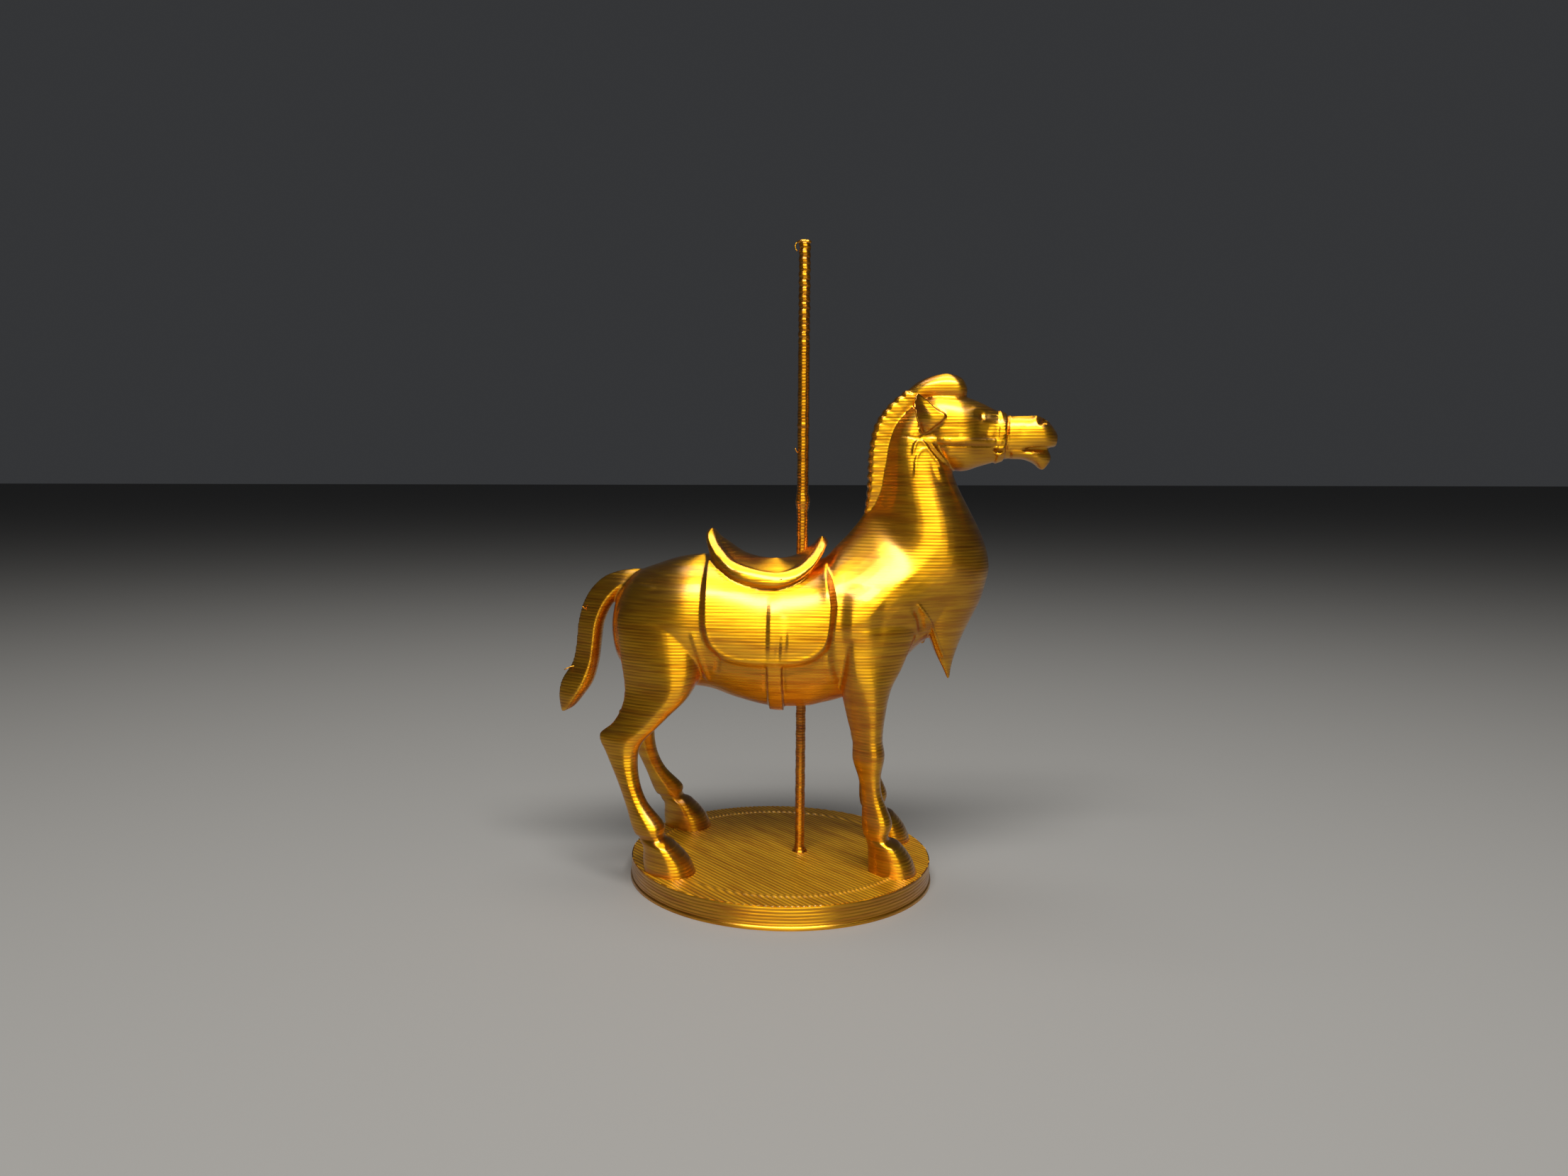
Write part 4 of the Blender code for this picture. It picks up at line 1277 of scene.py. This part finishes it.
@dataclass
class RoundBase:
    """Round base: a turned side of printed layers under a top of slanting lines, with a low ring bead."""

    radius: float
    flare: float = 0.12
    ring_radius: float = 11.8
    ring_rise: float = 0.12
    layer_bulge: float = 0.03
    rim_width: float = 0.3
    rim_rise: float = 0.03
    ring_width: float = 0.2
    line_rise: float = 0.07
    top_inset: float = 0.12
    top_depth: float = 0.2
    raster_degrees: float = RASTER_DEGREES
    cuts_a_layer: int = 5
    cuts_a_line: int = 4
    cuts_along: int = 170
    sides: int = 224
    side_sharp_degrees: float = 50.0
    top_sharp_degrees: float = 80.0

    def build(self, side_finish: bpy.types.Material, top_finish: bpy.types.Material) -> None:
        """Model the base's two pieces, one with each finish."""
        finish_piece(self.turned_side(), side_finish, self.side_sharp_degrees)
        finish_piece(self.raster_top(), top_finish, self.top_sharp_degrees)

    def side_profile(self) -> list[tuple[float, float]]:
        """Give the side's outline, one rounded bulge a layer.

        Returns:
            Points (radius, z) from the underside up to the rim.
        """
        layers, cuts = round(BASE_TOP / LAYER_HEIGHT), self.cuts_a_layer
        points = [(self.radius + self.flare, 0.0)]
        for layer in range(layers):
            out = self.flare if layer == 0 else 0.0
            for cut in range(1, cuts + 1):
                share = cut / cuts
                bulge = self.layer_bulge * (math.sin(math.pi * share) - 1)
                points.append((self.radius + out + bulge, (layer + share) * BASE_TOP / layers))
        return points

    def turned_side(self) -> bpy.types.Object:
        """Turn the side with the Screw modifier from its outline.

        Returns:
            The base's body, closed above and below.
        """
        top = [(self.radius - self.rim_width, BASE_TOP), (0.0, BASE_TOP - self.rim_rise)]
        outline = [(0.0, 0.0), *self.side_profile(), *top]
        data = bpy.data.meshes.new("round_base")
        data.from_pydata([(r, 0.0, z) for r, z in outline], [(i, i + 1) for i in range(len(outline) - 1)], [])
        item = bpy.data.objects.new("round_base", data)
        bpy.context.scene.collection.objects.link(item)
        turn = item.modifiers.new("Turn", "SCREW")
        turn.steps = self.sides
        turn.render_steps = self.sides
        turn.use_merge_vertices = True
        turn.merge_threshold = 0.0001
        apply_modifiers(item)
        bpy.ops.object.mode_set(mode="EDIT")
        bpy.ops.mesh.select_all(action="SELECT")
        bpy.ops.mesh.normals_make_consistent(inside=False)
        bpy.ops.object.mode_set(mode="OBJECT")
        return item

    def raster_top(self) -> bpy.types.Object:
        """Lay the top's slanting lines side by side, each a low rounded ridge cut off at the rim.

        Returns:
            A closed low disc with the lines on its top.
        """
        reach, rows = self.radius - self.top_inset, self.cuts_along
        slant = math.radians(self.raster_degrees)
        along = Vector((math.cos(slant), math.sin(slant), 0.0))
        across = Vector((-math.sin(slant), math.cos(slant), 0.0))
        columns = int(2 * reach / LINE_WIDTH) * self.cuts_a_line
        widest = reach * 0.9995  # keeps the first and last line from shrinking to a point
        mesh = bmesh.new()
        grid = []
        for column in range(columns + 1):
            off = -widest + 2 * widest * column / columns
            half = math.sqrt(max(0.0, reach ** 2 - off ** 2))
            ridge = abs(math.sin(math.pi * column / self.cuts_a_line))
            line = []
            for row in range(rows + 1):
                place = across * off + along * (-half + 2 * half * row / rows)
                bead = math.exp(-((place.length - self.ring_radius) / self.ring_width) ** 2)
                place.z = BASE_TOP + ridge * self.line_rise + bead * self.ring_rise
                line.append(mesh.verts.new(place))
            grid.append(line)
        for first, second in zip(grid, grid[1:]):
            for row in range(rows):
                mesh.faces.new((first[row], first[row + 1], second[row + 1], second[row]))
        near_ends, far_ends = [line[0] for line in grid], [line[-1] for line in reversed(grid[:-1])]
        rim = near_ends + grid[-1][1:] + far_ends + grid[0][-2:0:-1]
        sunk = [mesh.verts.new((v.co.x, v.co.y, BASE_TOP - self.top_depth)) for v in rim]
        for i in range(len(rim)):
            j = (i + 1) % len(rim)
            mesh.faces.new((rim[i], rim[j], sunk[j], sunk[i]))
        mesh.faces.new(sunk)
        bmesh.ops.recalc_face_normals(mesh, faces=mesh.faces)
        return mesh_object("base_top_lines", mesh)


@dataclass
class Pole:
    """Carousel pole, a thin wavering stack of lines, twisted near its top, with a ring and a foot."""

    top_z: float
    x: float = 1.9
    upper_radius: float = 0.53
    lower_radius: float = 0.455
    change_z: float = 24.0
    ring_z: float = 35.1
    ring_radius: float = 0.68
    ring_length: float = 1.5
    foot_radius: float = 0.75
    foot_length: float = 0.7
    foot_power: float = 1.5
    ring_power: float = 0.7
    twist_from: float = 48.6
    twist_fade: float = 1.2
    twist_pitch: float = 0.66
    twist_depth: float = 0.07
    twist_turn: float = 0.5
    twist_middle: float = 0.75
    sunk: float = 0.5
    blob_height: float = 0.25
    layer_groove: float = 0.014
    waver: float = 0.02
    waver_rates: tuple[float, float] = (5.3, 1.7)
    waver_start: float = 0.6
    waver_across: float = 0.6
    nub_z: float = 42.0
    nub_rise: float = 0.06
    nub_length: float = 0.14
    sides: int = 36
    cuts_a_layer: int = 4
    sharp_degrees: float = 70.0

    def radius_at(self, z: float) -> float:
        """Give the pole's plain radius, without its print lines.

        Args:
            z: height.

        Returns:
            The radius.
        """
        foot = max(0.0, 1 - (z - BASE_TOP) / self.foot_length) if z > BASE_TOP else 1.0
        stem = self.lower_radius if z < self.change_z else self.upper_radius
        ring = max(0.0, 1 - abs(z - self.ring_z) / (self.ring_length / 2)) ** self.ring_power
        spread = (self.foot_radius - self.lower_radius) * foot ** self.foot_power
        return stem + spread + (self.ring_radius - stem) * ring

    def surface(self, z: float, angle: float) -> tuple[float, float, float]:
        """Give a point on the printed pole, with its layers, twist and waver.

        Args:
            z: height.
            angle: how far round the pole from +X.

        Returns:
            The point.
        """
        layer = abs(math.sin(math.pi * z / LAYER_HEIGHT))
        radius = self.radius_at(z) - self.layer_groove * (1 - layer)
        twist = min(1.0, max(0.0, (z - self.twist_from) / self.twist_fade))
        wave = abs(math.sin(math.pi * z / self.twist_pitch + angle * self.twist_turn))
        radius += self.twist_depth * twist * (wave - self.twist_middle)
        fast, slow = self.waver_rates
        waver = self.waver * math.sin(z * fast) * math.sin(z * slow + self.waver_start)
        radius += self.nub_rise * math.exp(-((z - self.nub_z) / self.nub_length) ** 2)
        side = waver * self.waver_across + radius * math.sin(angle)
        return self.x + waver + radius * math.cos(angle), side, z

    def build(self, finish: bpy.types.Material) -> None:
        """Model the pole.

        Args:
            finish: its material.
        """
        step = LAYER_HEIGHT / self.cuts_a_layer
        count = int((self.top_z - self.blob_height - BASE_TOP + self.sunk) / step)
        angles = [2 * math.pi * i / self.sides for i in range(self.sides)]
        heights = [BASE_TOP - self.sunk + k * step for k in range(count + 1)]
        mesh = bmesh.new()
        join_rings(mesh, [[self.surface(z, angle) for angle in angles] for z in heights])
        finish_piece(mesh_object("carousel_pole", mesh), finish, self.sharp_degrees)


@dataclass
class LooseStrings:
    """Fine strings of plastic that the nozzle left: a curl and a blob at the pole's end, and short hairs."""

    pole: Pole
    radius: float = 0.06
    cord_sides: int = 8
    voxel: float = 0.04
    relax_rounds: int = 2
    sharp_degrees: float = 75.0

    def paths(self) -> tuple[tuple[Point, ...], ...]:
        """Give the line of each string.

        Returns:
            Rows of points.
        """
        x, top = self.pole.x, self.pole.top_z
        return (
            ((x - 0.2, 0.0, top - 0.25), (x - 0.6, -0.05, top - 0.2), (x - 0.85, -0.1, top - 0.5),
             (x - 0.8, -0.1, top - 0.85), (x - 0.68, -0.1, top - 1.05)),
            ((x - 0.45, -0.2, 39.5), (x - 0.62, -0.3, 39.7), (x - 0.7, -0.3, 39.95)),
            ((-14.2, -1.6, 25.75), (-14.8, -1.7, 25.6), (-15.4, -1.5, 25.2)),
            ((-19.4, -0.3, 19.5), (-20.0, -0.4, 19.35), (-20.5, -0.5, 19.1)),
            ((-18.4, -0.4, 24.9), (-18.65, -0.5, 25.2)),
        )

    def build(self, finish: bpy.types.Material) -> None:
        """Model the strings and the pole's blob.

        Args:
            finish: their material.
        """
        clay = Clay()
        for path in self.paths():
            clay.cord(path, self.radius, self.cord_sides)
        x, top = self.pole.x, self.pole.top_z
        clay.ball((x - 0.1, 0.0, top - 0.22), (0.62, 0.55, 0.2))
        clay.ball((x + 0.2, -0.1, top - 0.26), (0.42, 0.4, 0.2))
        item = clay.fuse("loose_strings", self.voxel, self.relax_rounds)
        finish_piece(item, finish, self.sharp_degrees)


@dataclass(frozen=True)
class PhotoCamera:
    """The camera that took the photograph, in the camel's frame."""

    place: Point = (4.2467, -104.5906, 38.5077)
    tilt_down: float = 6.24
    yaw: float = 6.0
    sensor: float = 36.0
    frame_width: int = 2212
    focal_pixels: float = 1600.0
    shift_pixels: float = 106.0
    nearest: float = 5.0

    def build(self) -> None:
        """Set the scene's camera."""
        data = bpy.data.cameras.new("photo_camera")
        data.sensor_width = self.sensor
        data.lens = self.focal_pixels / self.frame_width * self.sensor
        data.shift_x = self.shift_pixels / self.frame_width
        data.clip_start = self.nearest * MM
        item = bpy.data.objects.new("photo_camera", data)
        item.location = Vector(self.place) * MM
        item.rotation_euler = (math.radians(90 - self.tilt_down), 0.0, math.radians(self.yaw))
        bpy.context.scene.collection.objects.link(item)
        bpy.context.scene.camera = item


@dataclass(frozen=True)
class Softbox:
    """A soft light panel that looks at the figure from a direction."""

    name: str
    azimuth: float
    elevation: float
    distance: float
    width: float
    height: float
    watts: float
    colour: str = "#FFFFFF"

    def build(self, target: Vector) -> None:
        """Hang the light.

        Args:
            target: what it looks at, in metres.
        """
        a, e = math.radians(self.azimuth), math.radians(self.elevation)
        away = Vector((math.sin(a) * math.cos(e), -math.cos(a) * math.cos(e), math.sin(e)))
        data = bpy.data.lights.new(self.name, "AREA")
        data.shape = "RECTANGLE"
        data.size = self.width * MM
        data.size_y = self.height * MM
        data.energy = self.watts
        data.color = srgb(self.colour)[:3]
        item = bpy.data.objects.new(self.name, data)
        item.location = target + away * self.distance * MM
        item.rotation_euler = away.to_track_quat("Z", "Y").to_euler()
        bpy.context.scene.collection.objects.link(item)


@dataclass(frozen=True)
class Studio:
    """Plain pale floor and soft light."""

    floor_colour: str = "#7B7975"
    floor_roughness: float = 0.85
    world_colour: str = "#C9CCD2"
    world_strength: float = 0.06
    floor_size: float = 4000.0
    aim: Point = (0.0, 0.0, 25.0)
    boxes: tuple[Softbox, ...] = (
        Softbox("key_front", 6.0, 58.0, 260.0, 230.0, 70.0, 1.25),
        Softbox("top_rear", 185.0, 78.0, 230.0, 170.0, 90.0, 0.22),
    )

    def build(self) -> None:
        """Lay the floor and light the scene."""
        world = bpy.data.worlds.new("soft_room")
        world.use_nodes = True
        background = world.node_tree.nodes["Background"]
        background.inputs["Color"].default_value = srgb(self.world_colour)
        background.inputs["Strength"].default_value = self.world_strength
        bpy.context.scene.world = world
        bpy.context.scene.view_settings.view_transform = "Standard"
        deselect()
        bpy.ops.mesh.primitive_plane_add(size=self.floor_size * MM, location=(0.0, 0.0, 0.0))
        floor = bpy.context.active_object
        floor.name = "studio_floor"
        material = bpy.data.materials.new("pale_floor")
        material.use_nodes = True
        shader = material.node_tree.nodes["Principled BSDF"]
        shader.inputs["Base Color"].default_value = srgb(self.floor_colour)
        shader.inputs["Roughness"].default_value = self.floor_roughness
        floor.data.materials.append(material)
        for box in self.boxes:
            box.build(Vector(self.aim) * MM)


def main() -> None:
    """Build the camera, the camel, its base and pole, and the studio."""
    logging.basicConfig(level=logging.INFO, format="%(name)s %(message)s")
    deselect()
    PhotoCamera().build()
    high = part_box(NODE)[1]
    # Level layers, on the figure and the base's side: bright gold with fine streaks along the layers.
    layers = SilkPlastic("silk_gold_layers").build()
    # Slanting lines on the base's top: a less metallic, duller gold. Its colour is set deeper as painted
    # shade for the grooves, and groove_shade darkens each groove again with painted shade.
    raster = SilkPlastic("silk_gold_raster_painted_shade", runs=LineRun.RASTER, colour="#DA9E18", deep_colour="#BB7C0B",
                         metallic=0.5, roughness=0.42, spread=0.6, streak_length=2.0, streak_weight=0.6,
                         line_depth=0.03, groove_shade=0.6).build()
    # The pole: the same gold set browner and darker, as painted shade for the shadow that the belly casts
    # over it.
    thin = SilkPlastic("silk_gold_pole_painted_shade", colour="#C8860F", deep_colour="#A9680A").build()
    Figure().build(layers)
    RoundBase(radius=high.y / MM - RoundBase.flare).build(layers, raster)
    pole = Pole(top_z=high.z / MM)
    pole.build(thin)
    LooseStrings(pole).build(layers)
    Studio().build()


if __name__ == "__main__":
    main()
